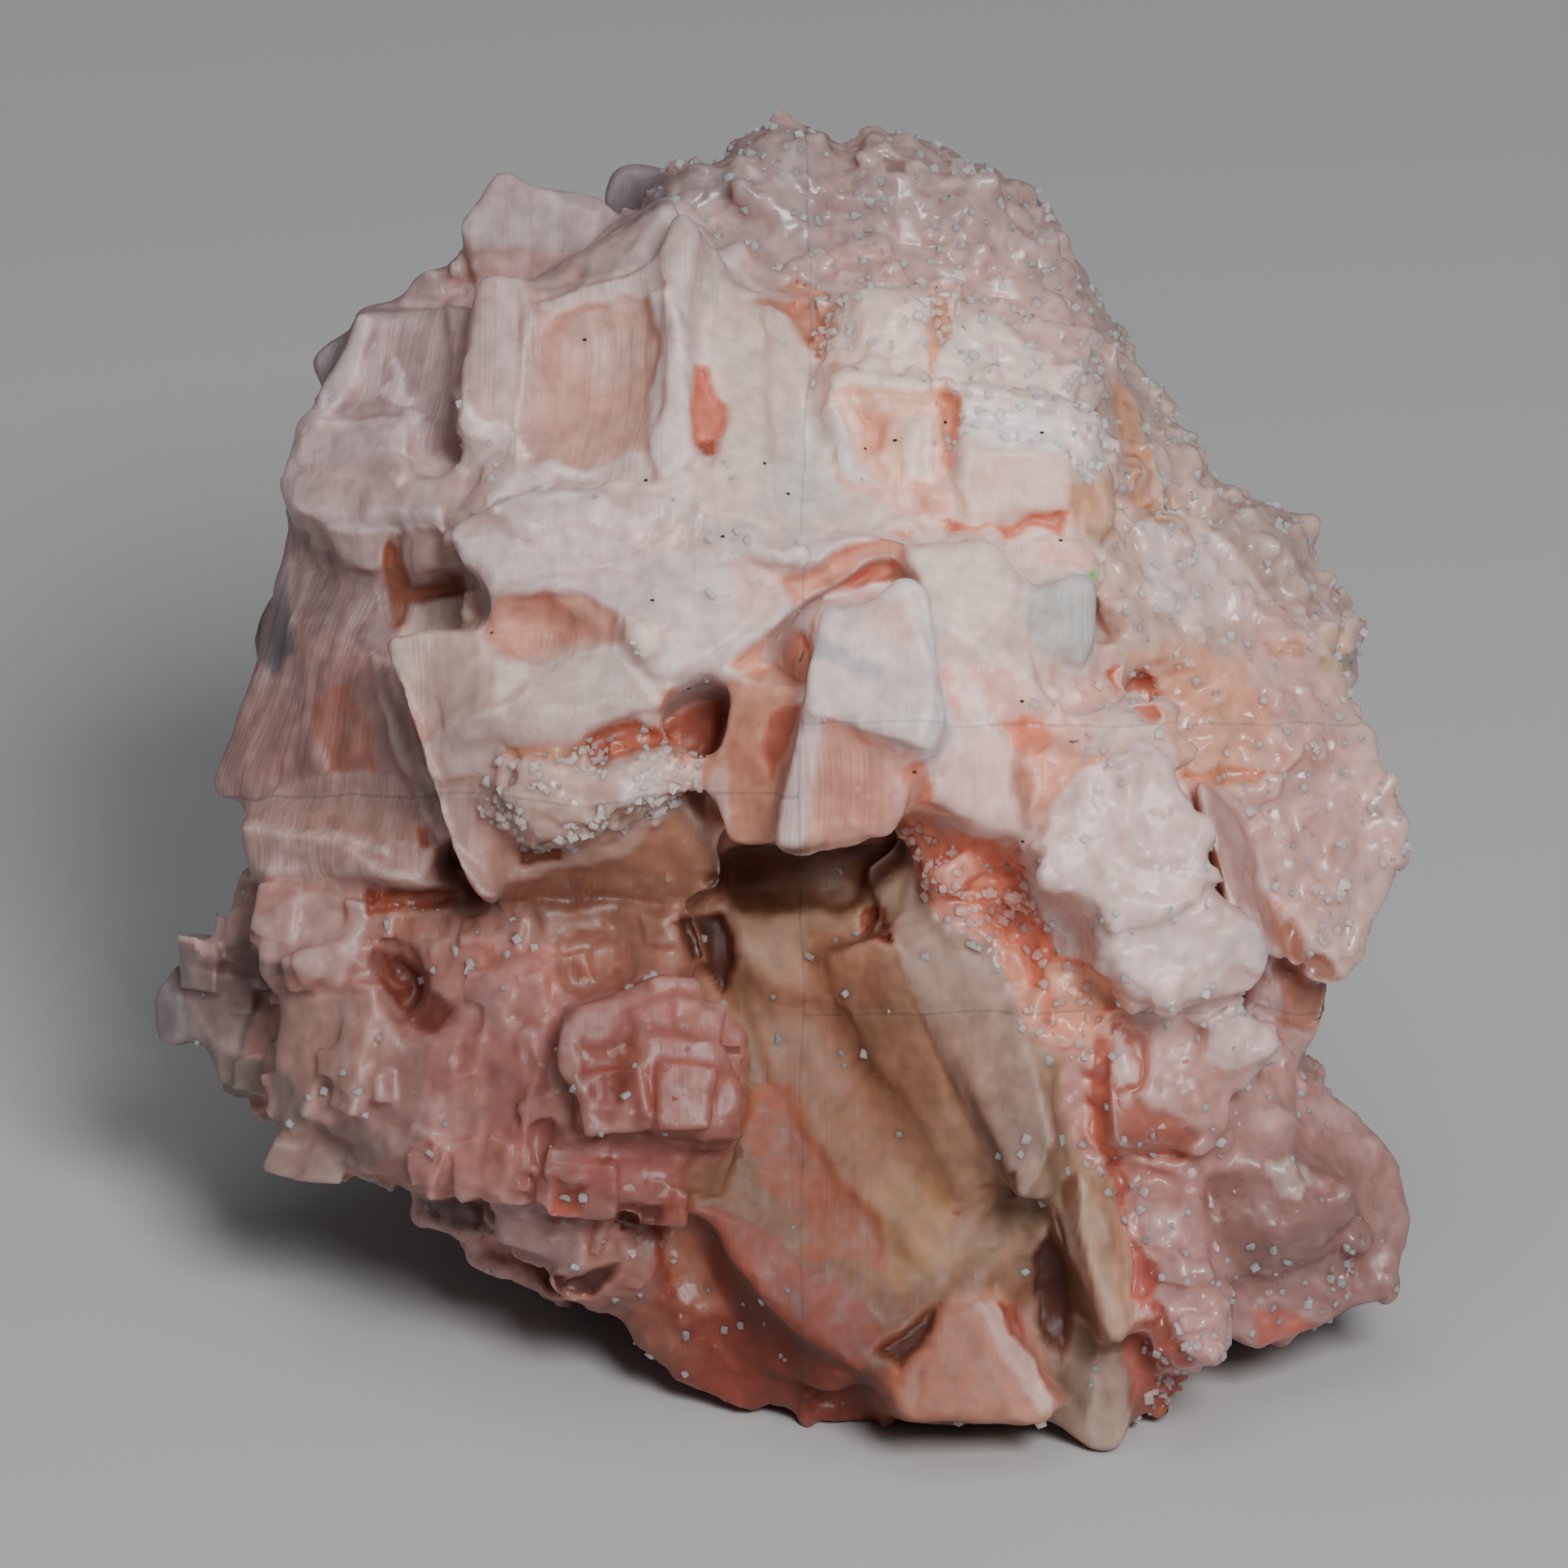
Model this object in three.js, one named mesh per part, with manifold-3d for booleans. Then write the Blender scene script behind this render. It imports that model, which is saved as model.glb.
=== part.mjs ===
// A hand-sized cluster of pink halite: hopper crystals, plates and crusts of rock salt grown into one mass.
// Millimetres, +Z up. The cluster rests on its flattened underside at z = 0, and its best face looks to -Y.
//
// The crystals are laid out in the frame of that best face, which leans back by faceLean:
//   across is +X, up runs up the face, and out runs away from the mass towards the person looking at it.
// Every [a, b] below is [across, up] and every [a, b, c] is [across, up, out], from the mass's heart.

import * as THREE from "three";
import { mergeVertices } from "three/addons/utils/BufferGeometryUtils.js";
import Module from "manifold-3d";

// ---- driving dimensions -------------------------------------------------------------------------

const faceLean = 25; // degrees between the best face and the vertical
const heart = new THREE.Vector3(0.35, -5, 41.5); // the heart of the mass above the table
const tableSpan = 400; // a block larger than the cluster, to cut its underside flat

const backMiddle = new THREE.Vector3(2, -1, -8); // what the blocks on the far side face away from

// ---- small helpers ------------------------------------------------------------------------------

const wasm = await Module();
wasm.setup();
const { Manifold, Mesh } = wasm;

// Numbers from 0 to 1 that are the same in every run.
function randomFrom(seed) {
  let state = seed * 2654435761;
  return () => {
    state = (state + 0x6d2b79f5) | 0;
    let t = Math.imul(state ^ (state >>> 15), 1 | state);
    t = (t + Math.imul(t ^ (t >>> 7), 61 | t)) ^ t;
    return ((t ^ (t >>> 14)) >>> 0) / 4294967296;
  };
}

const inDegrees = (turn) => new THREE.Euler(...turn.map(THREE.MathUtils.degToRad));

// A closed three.js geometry as a solid that can be joined and cut.
function solidOf(geometry) {
  const bare = geometry.clone();
  bare.deleteAttribute("normal");
  bare.deleteAttribute("uv");
  const merged = mergeVertices(bare, 1e-4);
  return new Manifold(
    new Mesh({
      numProp: 3,
      vertProperties: new Float32Array(merged.attributes.position.array),
      triVerts: new Uint32Array(merged.index.array),
    }),
  );
}

function geometryOf(solid) {
  const { vertProperties, triVerts } = solid.getMesh();
  return new THREE.BufferGeometry()
    .setAttribute("position", new THREE.BufferAttribute(vertProperties, 3))
    .setIndex(new THREE.BufferAttribute(triVerts, 1));
}

// ---- kinds of crystal ---------------------------------------------------------------------------

// A crystal block. at is the middle of its front face, and size is [width, height, depth].
// worn moves each corner by up to that share of the size, as no natural cube is exact.
function block({ at, size, turn = [0, 0, 0], worn = 0.08, seed = 1 }) {
  const random = randomFrom(seed);
  const geometry = bareBox(...size);
  const corners = geometry.attributes.position;
  for (let i = 0; i < corners.count; i++) {
    const moved = size.map((s) => s * worn * (random() * 2 - 1));
    corners.setXYZ(i, corners.getX(i) + moved[0], corners.getY(i) + moved[1], corners.getZ(i) + moved[2]);
  }
  geometry.translate(0, 0, -size[2] / 2);
  geometry.applyMatrix4(new THREE.Matrix4().makeRotationFromEuler(inDegrees(turn)));
  geometry.translate(...at);
  return solidOf(geometry);
}

// A box whose neighbouring sides share their corners, with its front in cells x cells squares.
function bareBox(width, height, depth, cells = 1) {
  const box = new THREE.BoxGeometry(width, height, depth, cells, cells, 1);
  box.deleteAttribute("normal");
  box.deleteAttribute("uv");
  return mergeVertices(box, 1e-4);
}

// A four-cornered crystal face with its body behind it. corners run top left, top right, bottom right
// and bottom left. bulge swells the middle of the face (or dishes it, below 0), and cells divides the
// face so that it can curve. The body runs back by deep and shrinks to the share taper.
function face(corners, deep, { bulge = 0, cells = 1, taper = 0.86 } = {}) {
  const [topLeft, topRight, bottomRight, bottomLeft] = corners.map((c) => new THREE.Vector3(...c));
  const geometry = bareBox(1, 1, 1, cells);
  const middle = topLeft.clone().add(topRight).add(bottomRight).add(bottomLeft).divideScalar(4);
  const points = geometry.attributes.position;
  for (let i = 0; i < points.count; i++) {
    const s = points.getX(i) + 0.5;
    const t = 0.5 - points.getY(i);
    const top = topLeft.clone().lerp(topRight, s);
    const bottom = bottomLeft.clone().lerp(bottomRight, s);
    const point = top.lerp(bottom, t);
    if (points.getZ(i) > 0) {
      point.z += bulge * 16 * s * (1 - s) * t * (1 - t);
    } else {
      point.sub(middle).multiplyScalar(taper).add(middle);
      point.z -= deep;
    }
    points.setXYZ(i, point.x, point.y, point.z);
  }
  return solidOf(geometry);
}

// A many-sided crystal plate. Its outline is a list of [across, up] corners, its front face lies at out,
// and it is deep thick. lean is how far it tips about its own middle: [face down, face right] in degrees.
// With ragged above 0, each side is broken into lengths of about every that wander by up to ragged.
// Its back half shrinks to the share taper, as a crystal does where it enters the mass.
function plate(outline, { out, deep, lean = [0, 0], ragged = 0, every = 3, seed = 1, taper = 0.8 }) {
  const random = randomFrom(seed);
  const points = outline.flatMap(([x, y], i) => {
    const [nextX, nextY] = outline[(i + 1) % outline.length];
    const length = Math.hypot(nextX - x, nextY - y);
    const parts = ragged > 0 ? Math.max(1, Math.round(length / every)) : 1;
    return Array.from({ length: parts }, (_, k) => {
      const wander = k > 0 ? (ragged * (random() * 2 - 1)) / length : 0;
      const along = k / parts;
      return new THREE.Vector2(
        x + (nextX - x) * along + (y - nextY) * wander,
        y + (nextY - y) * along + (nextX - x) * wander,
      );
    });
  });
  const middle = new THREE.Box2().setFromPoints(points).getCenter(new THREE.Vector2());
  const shape = new THREE.Shape(points.map((p) => p.sub(middle)));
  const geometry = new THREE.ExtrudeGeometry(shape, { depth: deep, bevelEnabled: false });
  geometry.translate(0, 0, -deep);
  const corners = geometry.attributes.position;
  for (let i = 0; i < corners.count; i++) {
    const narrowed = corners.getZ(i) < -deep / 2 ? taper : 1;
    corners.setXY(i, corners.getX(i) * narrowed, corners.getY(i) * narrowed);
  }
  geometry.applyMatrix4(new THREE.Matrix4().makeRotationFromEuler(inDegrees([...lean, 0])));
  geometry.translate(middle.x, middle.y, out);
  return solidOf(geometry);
}

// A lump of salt: a faceted ball with the half-sizes radii, whose surface is rough by up to that share.
function lump({ at, radii, rough = 0.1, detail = 1, seed = 1 }) {
  const random = randomFrom(seed);
  const ball = new THREE.IcosahedronGeometry(1, detail);
  ball.deleteAttribute("normal");
  ball.deleteAttribute("uv");
  const geometry = mergeVertices(ball, 1e-4);
  const points = geometry.attributes.position;
  for (let i = 0; i < points.count; i++) {
    const swell = 1 + rough * (random() * 2 - 1);
    points.setXYZ(
      i,
      at[0] + points.getX(i) * radii[0] * swell,
      at[1] + points.getY(i) * radii[1] * swell,
      at[2] + points.getZ(i) * radii[2] * swell,
    );
  }
  return solidOf(geometry);
}

// ---- the mass that everything grows from --------------------------------------------------------

const mass = {
  crown: lump({ at: [4, 23, -12], radii: [28, 25, 24], detail: 0, seed: 11 }),
  leftShoulder: lump({ at: [-17, 12, -8], radii: [23, 26, 22], detail: 0, seed: 12 }),
  rightShoulder: lump({ at: [22, 4, -10], radii: [22, 23, 23], detail: 0, seed: 13 }),
  leftFoot: lump({ at: [-19, -16, -7], radii: [22, 16, 20], detail: 0, seed: 14 }),
  middleFoot: lump({ at: [8, -24, -12], radii: [27, 22, 21], detail: 0, seed: 15 }),
  rightFoot: lump({ at: [30, -29, -8], radii: [16, 14, 17], detail: 0, seed: 16 }),
  heel: lump({ at: [0, -18, -25], radii: [34, 18, 15], detail: 0, seed: 17 }),
};

// ---- upper left: the great hopper and its ledges ------------------------------------------------

const hopper = {
  peak: plate(
    [[-22.9, 49.1], [-21.3, 48.6], [-19.8, 47.1], [-16.3, 46.8], [-14, 45.9], [-12.4, 43.5],
      [-10.4, 41.6], [-12.3, 37], [-19.8, 37], [-23.5, 39.4], [-24.4, 41], [-25.4, 43.6],
      [-24.4, 45.7]],
    { out: -2, deep: 16, lean: [-16, -12], ragged: 0.3, seed: 21 },
  ),
  smokyBack: plate(
    [[-14.2, 46.2], [-13.4, 47.9], [-11.9, 48.5], [-9.4, 47.8], [-7.3, 47.5], [-6, 43], [-12, 42.5],
      [-13.8, 44.4]],
    { out: -13, deep: 10 },
  ),
  backSteps: plate(
    [[-32.9, 36.8], [-32.6, 38.5], [-31.1, 38], [-29.6, 38.5], [-28.2, 40.3], [-25.4, 41.1],
      [-22.9, 41], [-20, 39.5], [-19, 34], [-26, 33], [-32.3, 33]],
    { out: -5, deep: 16, lean: [-16, -16] },
  ),
  backCorner: plate(
    [[-36.9, 32.6], [-36.3, 33.8], [-34.8, 34.9], [-32.5, 35.4], [-31, 31], [-35.9, 30.8]],
    { out: -12, deep: 10 },
  ),
  leftWall: face([[-32.8, 36.8, -3], [-24.7, 36.6, 2], [-24.6, 26, 6], [-37, 27, -1]], 16),
  leftRim: plate(
    [[-32.9, 37], [-31.1, 36.6], [-33.4, 29], [-35.8, 23.6], [-38.9, 22.4], [-38.3, 25], [-36.2, 30]],
    { out: -0.5, deep: 10, lean: [0, -22] },
  ),
  whiteBlock: face([[-37.1, 28.2, 0], [-28.8, 28, 5.5], [-28.6, 23.6, 7], [-38.2, 23.4, 0.5]], 8),
  leftLedge: face([[-38.9, 23.2, 1], [-25.5, 23.2, 11], [-25, 20, 13], [-38.4, 20.4, 2]], 14),
  underWall: face([[-38.2, 21.4, -2], [-24, 20.4, 6], [-24, 10, 8], [-39, 13, -3]], 14),
  hangingBlock: face([[-35.8, 21, 2.5], [-29.9, 20.6, 7], [-30.4, 15.9, 6.5], [-34.2, 15.8, 3]], 6),
  hangingBlockRight: face([[-29.4, 21, 8], [-24.4, 20.6, 11], [-24.4, 15.6, 10.5], [-29, 15.9, 8]], 6),
  prism: plate(
    [[-23.5, 39.2], [-19.8, 39.5], [-18.6, 37.6], [-18.8, 35.4], [-20.4, 29.2], [-22.2, 27.3],
      [-24.8, 26.6], [-25.3, 27.9], [-24.4, 35.4]],
    { out: 9, deep: 14, lean: [-14, -8] },
  ),
  prismRim: plate(
    [[-25.2, 29], [-23.8, 29.2], [-23.2, 27.4], [-20.4, 26.6], [-18.6, 25.4], [-19.2, 24.4],
      [-23.5, 25], [-25.4, 26.2]],
    { out: 11.5, deep: 6, lean: [0, -8] },
  ),
  hood: face([[-19.6, 38.4, 5], [-8.6, 45.4, 5.5], [-7.6, 39, 10], [-18.6, 35.6, 8.5]], 9),
  basin: face(
    [[-19.8, 37, 9], [-8.8, 40.6, 11], [-8, 22.8, 19], [-20.2, 24.6, 14]],
    16, { bulge: -6, cells: 3 },
  ),
  fin: plate(
    [[-9.3, 44], [-7.9, 44.8], [-6.5, 43.6], [-6.8, 41.6], [-7.6, 36.6], [-7.7, 32.3], [-7.3, 27.9],
      [-7.1, 22.9], [-8.5, 21.3], [-10.4, 21.6], [-10.7, 23.5], [-9.9, 26.6], [-8.8, 32.9],
      [-8.6, 36.6], [-9.6, 41.6]],
    { out: 14.5, deep: 12, lean: [-20, -20] },
  ),
  curtain: face(
    [[-3.5, 38.5, 8], [0.8, 37.4, 6], [9.2, 18.4, 18], [-5.5, 21, 21]],
    14, { bulge: -2.4, cells: 3 },
  ),
  curtainEdge: face([[-5, 33, 12.5], [-2, 37.5, 9], [-1, 20, 21], [-6.2, 21, 19.5]], 8),
  shelf: face([[-22, 24.6, 12], [-5, 22.4, 18], [1, 17, 24], [-26, 19, 14]], 14, { bulge: 1, cells: 2 }),
  scarp: plate(
    [[-26, 20.6], [-22.6, 22.4], [-18, 21.2], [-11, 19.8], [-4, 19.6], [2, 18.6], [9, 18.4],
      [5.3, 15.4], [2.1, 14.6], [0.6, 12.2], [-1.6, 10.4], [-3.8, 8], [-6, 8.2], [-8.5, 7.3],
      [-10.4, 8.5], [-12.9, 10.4], [-16.6, 13.8], [-20.4, 14.4], [-22.2, 13.8], [-23.5, 16.6],
      [-25, 17.2]],
    { out: 21, deep: 14, lean: [-20, -6] },
  ),
  shelfRim: plate(
    [[-22.4, 21.6], [-20.6, 23.4], [-17, 23.2], [-12.4, 22.2], [-8, 21.4], [-9.4, 19.4], [-15.6, 19.4],
      [-20.8, 18.6]],
    { out: 19, deep: 8, lean: [-30, -6] },
  ),
  underLedge: face([[-23, 14.6, 14], [-7, 12, 18], [-8, 5, 16], [-25, 8, 13]], 10),
  nub: lump({ at: [-10.3, 11.4, 22], radii: [1.7, 1.9, 2.4], seed: 25, detail: 0 }),
};

// ---- left: the slanting tray, its frame and the long wedge --------------------------------------

const tray = {
  frameBar: plate(
    [[-31, 11], [-29.6, 11.3], [-27.8, 6.6], [-25.2, 1], [-22.8, -4.6], [-20.4, -9], [-21.6, -9.9],
      [-23.5, -7.8], [-26.4, -2.1], [-29.2, 5.4]],
    { out: 17.5, deep: 12, lean: [4, -24] },
  ),
  upperSlab: plate(
    [[-30.4, 11], [-26.6, 12.3], [-20.4, 10.4], [-16.6, 9.8], [-11.6, 10.4], [-8.5, 7.3], [-9.1, 5.4],
      [-14.1, 5.1], [-19.1, 4.1], [-22.3, 2.3], [-24.4, 0.4], [-26.3, 1], [-27.9, 5.4]],
    { out: 19, deep: 12, lean: [-6, -14] },
  ),
  paleFacet: face([[-27, 11, 16], [-20.6, 10.4, 20], [-18, 6, 22], [-24, 2.6, 20.5]], 5),
  lip: plate(
    [[-18, 8.5], [-14, 10], [-9.6, 9.6], [-7.9, 7.5], [-8.6, 5.6], [-13, 5.4], [-17, 4.6],
      [-20.4, 3.4]],
    { out: 21.5, deep: 5, lean: [-24, -6], ragged: 0.25, seed: 32 },
  ),
  crumblyPlate: plate(
    [[-22.4, 1], [-19.8, 2.2], [-15.4, 2.6], [-10.4, 2.3], [-7.6, 2.9], [-6.8, 1.3], [-8.2, -1.2],
      [-12.3, -2.4], [-16.6, -4], [-20.4, -3.4], [-22.1, -1.2]],
    { out: 20.5, deep: 7, lean: [-12, -8], ragged: 0.4, every: 2.4, seed: 33 },
  ),
  crumblyBlock: block({ at: [-18, 0.4, 22], size: [5.4, 4, 5], turn: [-14, -10, 6], seed: 34 }),
  crumblyBlockRight: block({ at: [-10.6, 0.6, 22.4], size: [5.6, 3.8, 5], turn: [-10, 8, 16], seed: 35 }),
  trayFloor: face([[-24, 4, 12], [-5, 6, 13], [-5, -5, 12], [-22, -8, 12]], 10),
  bottomWall: plate(
    [[-22.9, -5.9], [-19.1, -5.9], [-12.9, -4], [-8.5, -1.5], [-7.3, -1.2], [-4.8, -4.6], [-4.6, -7.8],
      [-7.9, -9], [-14.1, -8.4], [-20.4, -9.6], [-21.9, -9.6]],
    { out: 16, deep: 10, lean: [14, -4] },
  ),
  leftFace: face(
    [[-38.6, 17, -3], [-30.6, 12, 7], [-24.6, -5, 14], [-44.6, -1, -3]],
    18, { bulge: 1.6, cells: 2 },
  ),
  leftFacet: face([[-37.4, 13, 1], [-30, 10, 9], [-27, 1, 12.5], [-36.6, 1.6, 5]], 6),
  wedge: plate(
    [[-44.3, -1.6], [-41.6, -1.2], [-35.4, -2.8], [-29.1, -5.3], [-25.7, -7.4], [-26.3, -8.7],
      [-30.4, -8.1], [-36.6, -7.1], [-42.3, -6.8], [-43.3, -4.6]],
    { out: 6.5, deep: 14, lean: [-10, -34] },
  ),
  smokyEdge: plate(
    [[-38.2, 16.4], [-37, 8], [-40.1, 7.6], [-41.6, 11], [-40.5, 13.6]],
    { out: -10, deep: 10 },
  ),
};

// ---- lower left: cubes that step down to the tip ------------------------------------------------

const cubes = {
  knob: block({ at: [-36.4, -12, 6], size: [8.4, 7, 12], turn: [4, -20, -10], seed: 41 }),
  knobLower: block({ at: [-34.6, -13.8, 8], size: [5, 4, 8], turn: [4, -20, 16], seed: 42 }),
  neck: block({ at: [-40, -10, -2], size: [6, 6, 10], turn: [0, -20, -20], seed: 43 }),
  tip: plate(
    [[-49.2, -17], [-47, -14.3], [-43.5, -11.5], [-39.8, -14], [-39.2, -17.8], [-41.6, -20.3],
      [-45.4, -19.9], [-48.5, -20.4], [-49.3, -19.3]],
    { out: -5, deep: 12, lean: [0, -16] },
  ),
  tipFoot: block({ at: [-41.4, -20.4, -4], size: [5.6, 5.4, 8], turn: [0, -10, 10], seed: 44 }),
  broadCube: face([[-38.6, -16.4, 4], [-30.4, -17.2, 11], [-31.4, -27.6, 10], [-40, -25.4, 2]], 14),
  broadCubeFoot: block({ at: [-35, -27.4, 4], size: [8, 5, 9], turn: [10, -12, -14], seed: 45 }),
  leaningCube: face([[-30.8, -18.4, 10], [-25.4, -19.4, 14], [-27.4, -30.4, 12], [-33, -29, 7]], 12),
  leaningPlate: face([[-27.4, -14.6, 12], [-21, -14.2, 15.5], [-20.4, -31.4, 15], [-27.2, -30.6, 11]], 12),
  leaningPlateRight: face([[-22, -13, 15], [-17, -13.4, 16.5], [-16, -30, 15.5], [-21, -33, 13]], 12),
  roof: face([[-31.6, -9.4, 7], [-18.6, -10, 13], [-17.6, -14, 15], [-26.4, -14.6, 12]], 9),
  brownCube: block({ at: [-12.8, -11.6, 14.5], size: [10, 6.4, 10], turn: [-14, -4, 4], seed: 46 }),
  bigCube: plate(
    [[-17, -16.8], [-13, -15.6], [-9.2, -14], [-5.4, -17.2], [-2.6, -23.4], [-4.8, -26.9], [-8.6, -26],
      [-14.8, -24.2], [-17.4, -21]],
    { out: 20.5, deep: 14, lean: [-4, 4] },
  ),
  bigCubeFoot: block({ at: [-12.4, -28.4, 16.5], size: [9.4, 8, 12], turn: [8, -4, -8], seed: 47 }),
  footKnob: block({ at: [-17.4, -33.4, 10.5], size: [9, 6, 12], turn: [10, -10, -16], seed: 48 }),
  footKnobLeft: block({ at: [-25.6, -32.6, 3], size: [6, 4.4, 10], turn: [0, -16, -14], seed: 49 }),
  heelCube: block({ at: [-20, -37, 2], size: [8, 4, 12], turn: [8, -10, -16], seed: 50 }),
};

// ---- middle: the capped block with its striated front -------------------------------------------

const keystone = {
  cap: plate(
    [[2.4, 14.3], [5.9, 14.4], [9, 16.6], [10.9, 15.4], [11.5, 10.4], [12.4, 5.4], [11.2, 1.3],
      [7.1, 3.2], [4.6, 4.8], [1.2, 5.4]],
    { out: 31, deep: 10, lean: [-24, -8], ragged: 0.15, seed: 51 },
  ),
  striatedFront: plate(
    [[1.2, 5.8], [4.6, 5.1], [7.8, 3.6], [10.8, 1.6], [9.3, -2.1], [8.9, -3.5], [5.3, -4.5],
      [2.1, -5.1], [-1, -4.9], [0, -0.9]],
    { out: 30, deep: 18, lean: [8, -8], ragged: 0.2, seed: 52 },
  ),
  amberSide: plate(
    [[-3.8, 7.4], [-1.6, 7.6], [1.2, 6.8], [2.4, 4.1], [0.6, 0.4], [-0.6, -4.9], [-4.8, -4.8],
      [-6, -1.6], [-5.7, 2.3]],
    { out: 24.5, deep: 14, lean: [4, -24], ragged: 0.2, seed: 53 },
  ),
  sliver: plate([[8.2, 2.4], [11, 1], [11.4, -2.1], [9.6, -2.9]], { out: 26, deep: 8, lean: [0, -10] }),
  sideScale: plate(
    [[10.6, 4.1], [13.4, 5.4], [17.1, 4.1], [19, -1.2], [18.1, -3.4], [14, -3.1], [11.2, -1.2]],
    { out: 26.5, deep: 9, lean: [-8, 10] },
  ),
  throat: face([[-6, 13, 15], [8, 18, 18], [9, 0, 18], [-6, -3, 14]], 10),
};

// ---- upper right: white blocks, columns and the slit below them ---------------------------------

const whiteBlocks = {
  topLeft: block({ at: [8.2, 34, 10.5], size: [10.4, 8, 14], turn: [-24, 6, -4], seed: 61 }),
  topLeftKnob: block({ at: [7.6, 36, 11], size: [5, 4, 8], turn: [-24, 10, 12], seed: 62 }),
  topRight: block({ at: [18.2, 32, 9], size: [9.6, 8.4, 14], turn: [-24, 16, -8], seed: 63 }),
  lintel: block({ at: [9, 29.6, 15], size: [12, 3.2, 10], turn: [-16, 8, -6], seed: 64 }),
  columnLeft: block({ at: [5.2, 26, 15.5], size: [2.6, 8, 8], turn: [0, 4, 8], seed: 65 }),
  columnMiddle: block({ at: [8.8, 24.8, 16.6], size: [2.4, 7.6, 8], turn: [0, 6, 2], seed: 66 }),
  columnRight: block({ at: [11.8, 24.8, 16.8], size: [2.2, 8, 8], turn: [0, 6, -4], seed: 67 }),
  chamber: block({ at: [8, 26, 12.5], size: [12, 12, 8], turn: [-6, 6, 0], seed: 68 }),
  crustedSlab: block({ at: [18.6, 27.4, 15.2], size: [11.4, 5.6, 12], turn: [-24, 14, -5], seed: 69 }),
  clearBlock: block({
    at: [17.6, 22.8, 17.4], size: [8.8, 5.8, 12], turn: [-4, 10, -4], worn: 0.05, seed: 70,
  }),
  tanBlock: block({ at: [23, 22, 13.6], size: [5, 4.6, 10], turn: [-4, 22, -4], seed: 71 }),
  sill: block({ at: [15.6, 17.6, 18], size: [17, 2.6, 10], turn: [-14, 8, -3], seed: 72 }),
  paleFacet: plate(
    [[9.3, 17.2], [10.9, 18.8], [15.6, 19.8], [17.1, 17.9], [17.8, 14.1], [16.5, 10.4], [12.1, 10.4],
      [11.5, 12.9]],
    { out: 23, deep: 9, lean: [-20, 6] },
  ),
  greyFacet: plate(
    [[17.8, 14.4], [22.8, 16.9], [24.1, 15.4], [24.5, 10.4], [23.4, 8.8], [20.3, 11]],
    { out: 21, deep: 9, lean: [-12, 20] },
  ),
  belly: face([[12, 11, 23], [25, 10, 18], [27, 2, 17], [12, 2, 24]], 14, { bulge: 1.2, cells: 2 }),
  bellyKnob: block({ at: [17.4, 7, 25], size: [5, 4.6, 8], turn: [-12, 8, 20], seed: 74 }),
};

// ---- top and right: the granular shell ----------------------------------------------------------

const shell = {
  crownFace: face([[-7, 46, -5], [17, 44, -6], [25, 30, 5], [-4, 35, 8]], 14, { bulge: 2.4, cells: 2 }),
  crownKnob: lump({ at: [-0.4, 43.8, -9], radii: [5.8, 7.4, 8], seed: 81 }),
  crownKnobLeft: lump({ at: [-6, 42.2, -9], radii: [5.2, 6.2, 7], seed: 82 }),
  crownKnobMiddle: lump({ at: [8.6, 43.4, -9], radii: [5.6, 7.2, 8], seed: 83 }),
  crownKnobRight: lump({ at: [13.6, 42.2, -9], radii: [5.4, 6.8, 8], seed: 84 }),
  brow: lump({ at: [17, 39.6, -9], radii: [5.4, 6.2, 8], detail: 0, seed: 85 }),
  slope: face([[15, 43.4, -6], [24, 38, -10], [34.6, 21.8, -8], [23, 24, 9]], 12, { bulge: 1, cells: 2 }),
  slopeEdge: face([[20, 41.4, -10], [25.4, 36.2, -12], [35, 21, -10], [30, 20, -2]], 9),
  cheek: lump({ at: [36, 17.4, -9], radii: [5.8, 5.4, 9], seed: 86 }),
  cheekLow: lump({ at: [40.4, 11.6, -9], radii: [4.8, 5.2, 8], seed: 87 }),
  shoulder: face([[24, 21, 11], [36, 19, -2], [42, 8, -4], [26, 9, 14]], 14, { bulge: 1.2, cells: 2 }),
  lobe: plate(
    [[25.4, 7.9], [27.6, 12], [33, 15], [38, 14.6], [42.4, 12.4], [44.6, 8.5], [45, 5.6], [46.8, 5.1],
      [46.6, 2.3], [48.2, 0.4], [49.2, -4.6], [47.8, -7.8], [45.9, -11.5], [43.1, -14.6], [42, -14.4],
      [39.6, -11.5], [37.1, -9], [34.6, -5.9], [32.1, -1.5], [29.6, 1], [27.8, 4.1]],
    { out: 4.5, deep: 14, lean: [-10, 24], ragged: 0.3, every: 3.4, seed: 88 },
  ),
  lobeSwell: face(
    [[27, 12.6, 8], [42, 11.6, -2], [46.6, -6.6, -4], [33.4, -3.4, 7]],
    12, { bulge: 3, cells: 3 },
  ),
};

// ---- right: rounded scales over the amber cleft -------------------------------------------------

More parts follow.
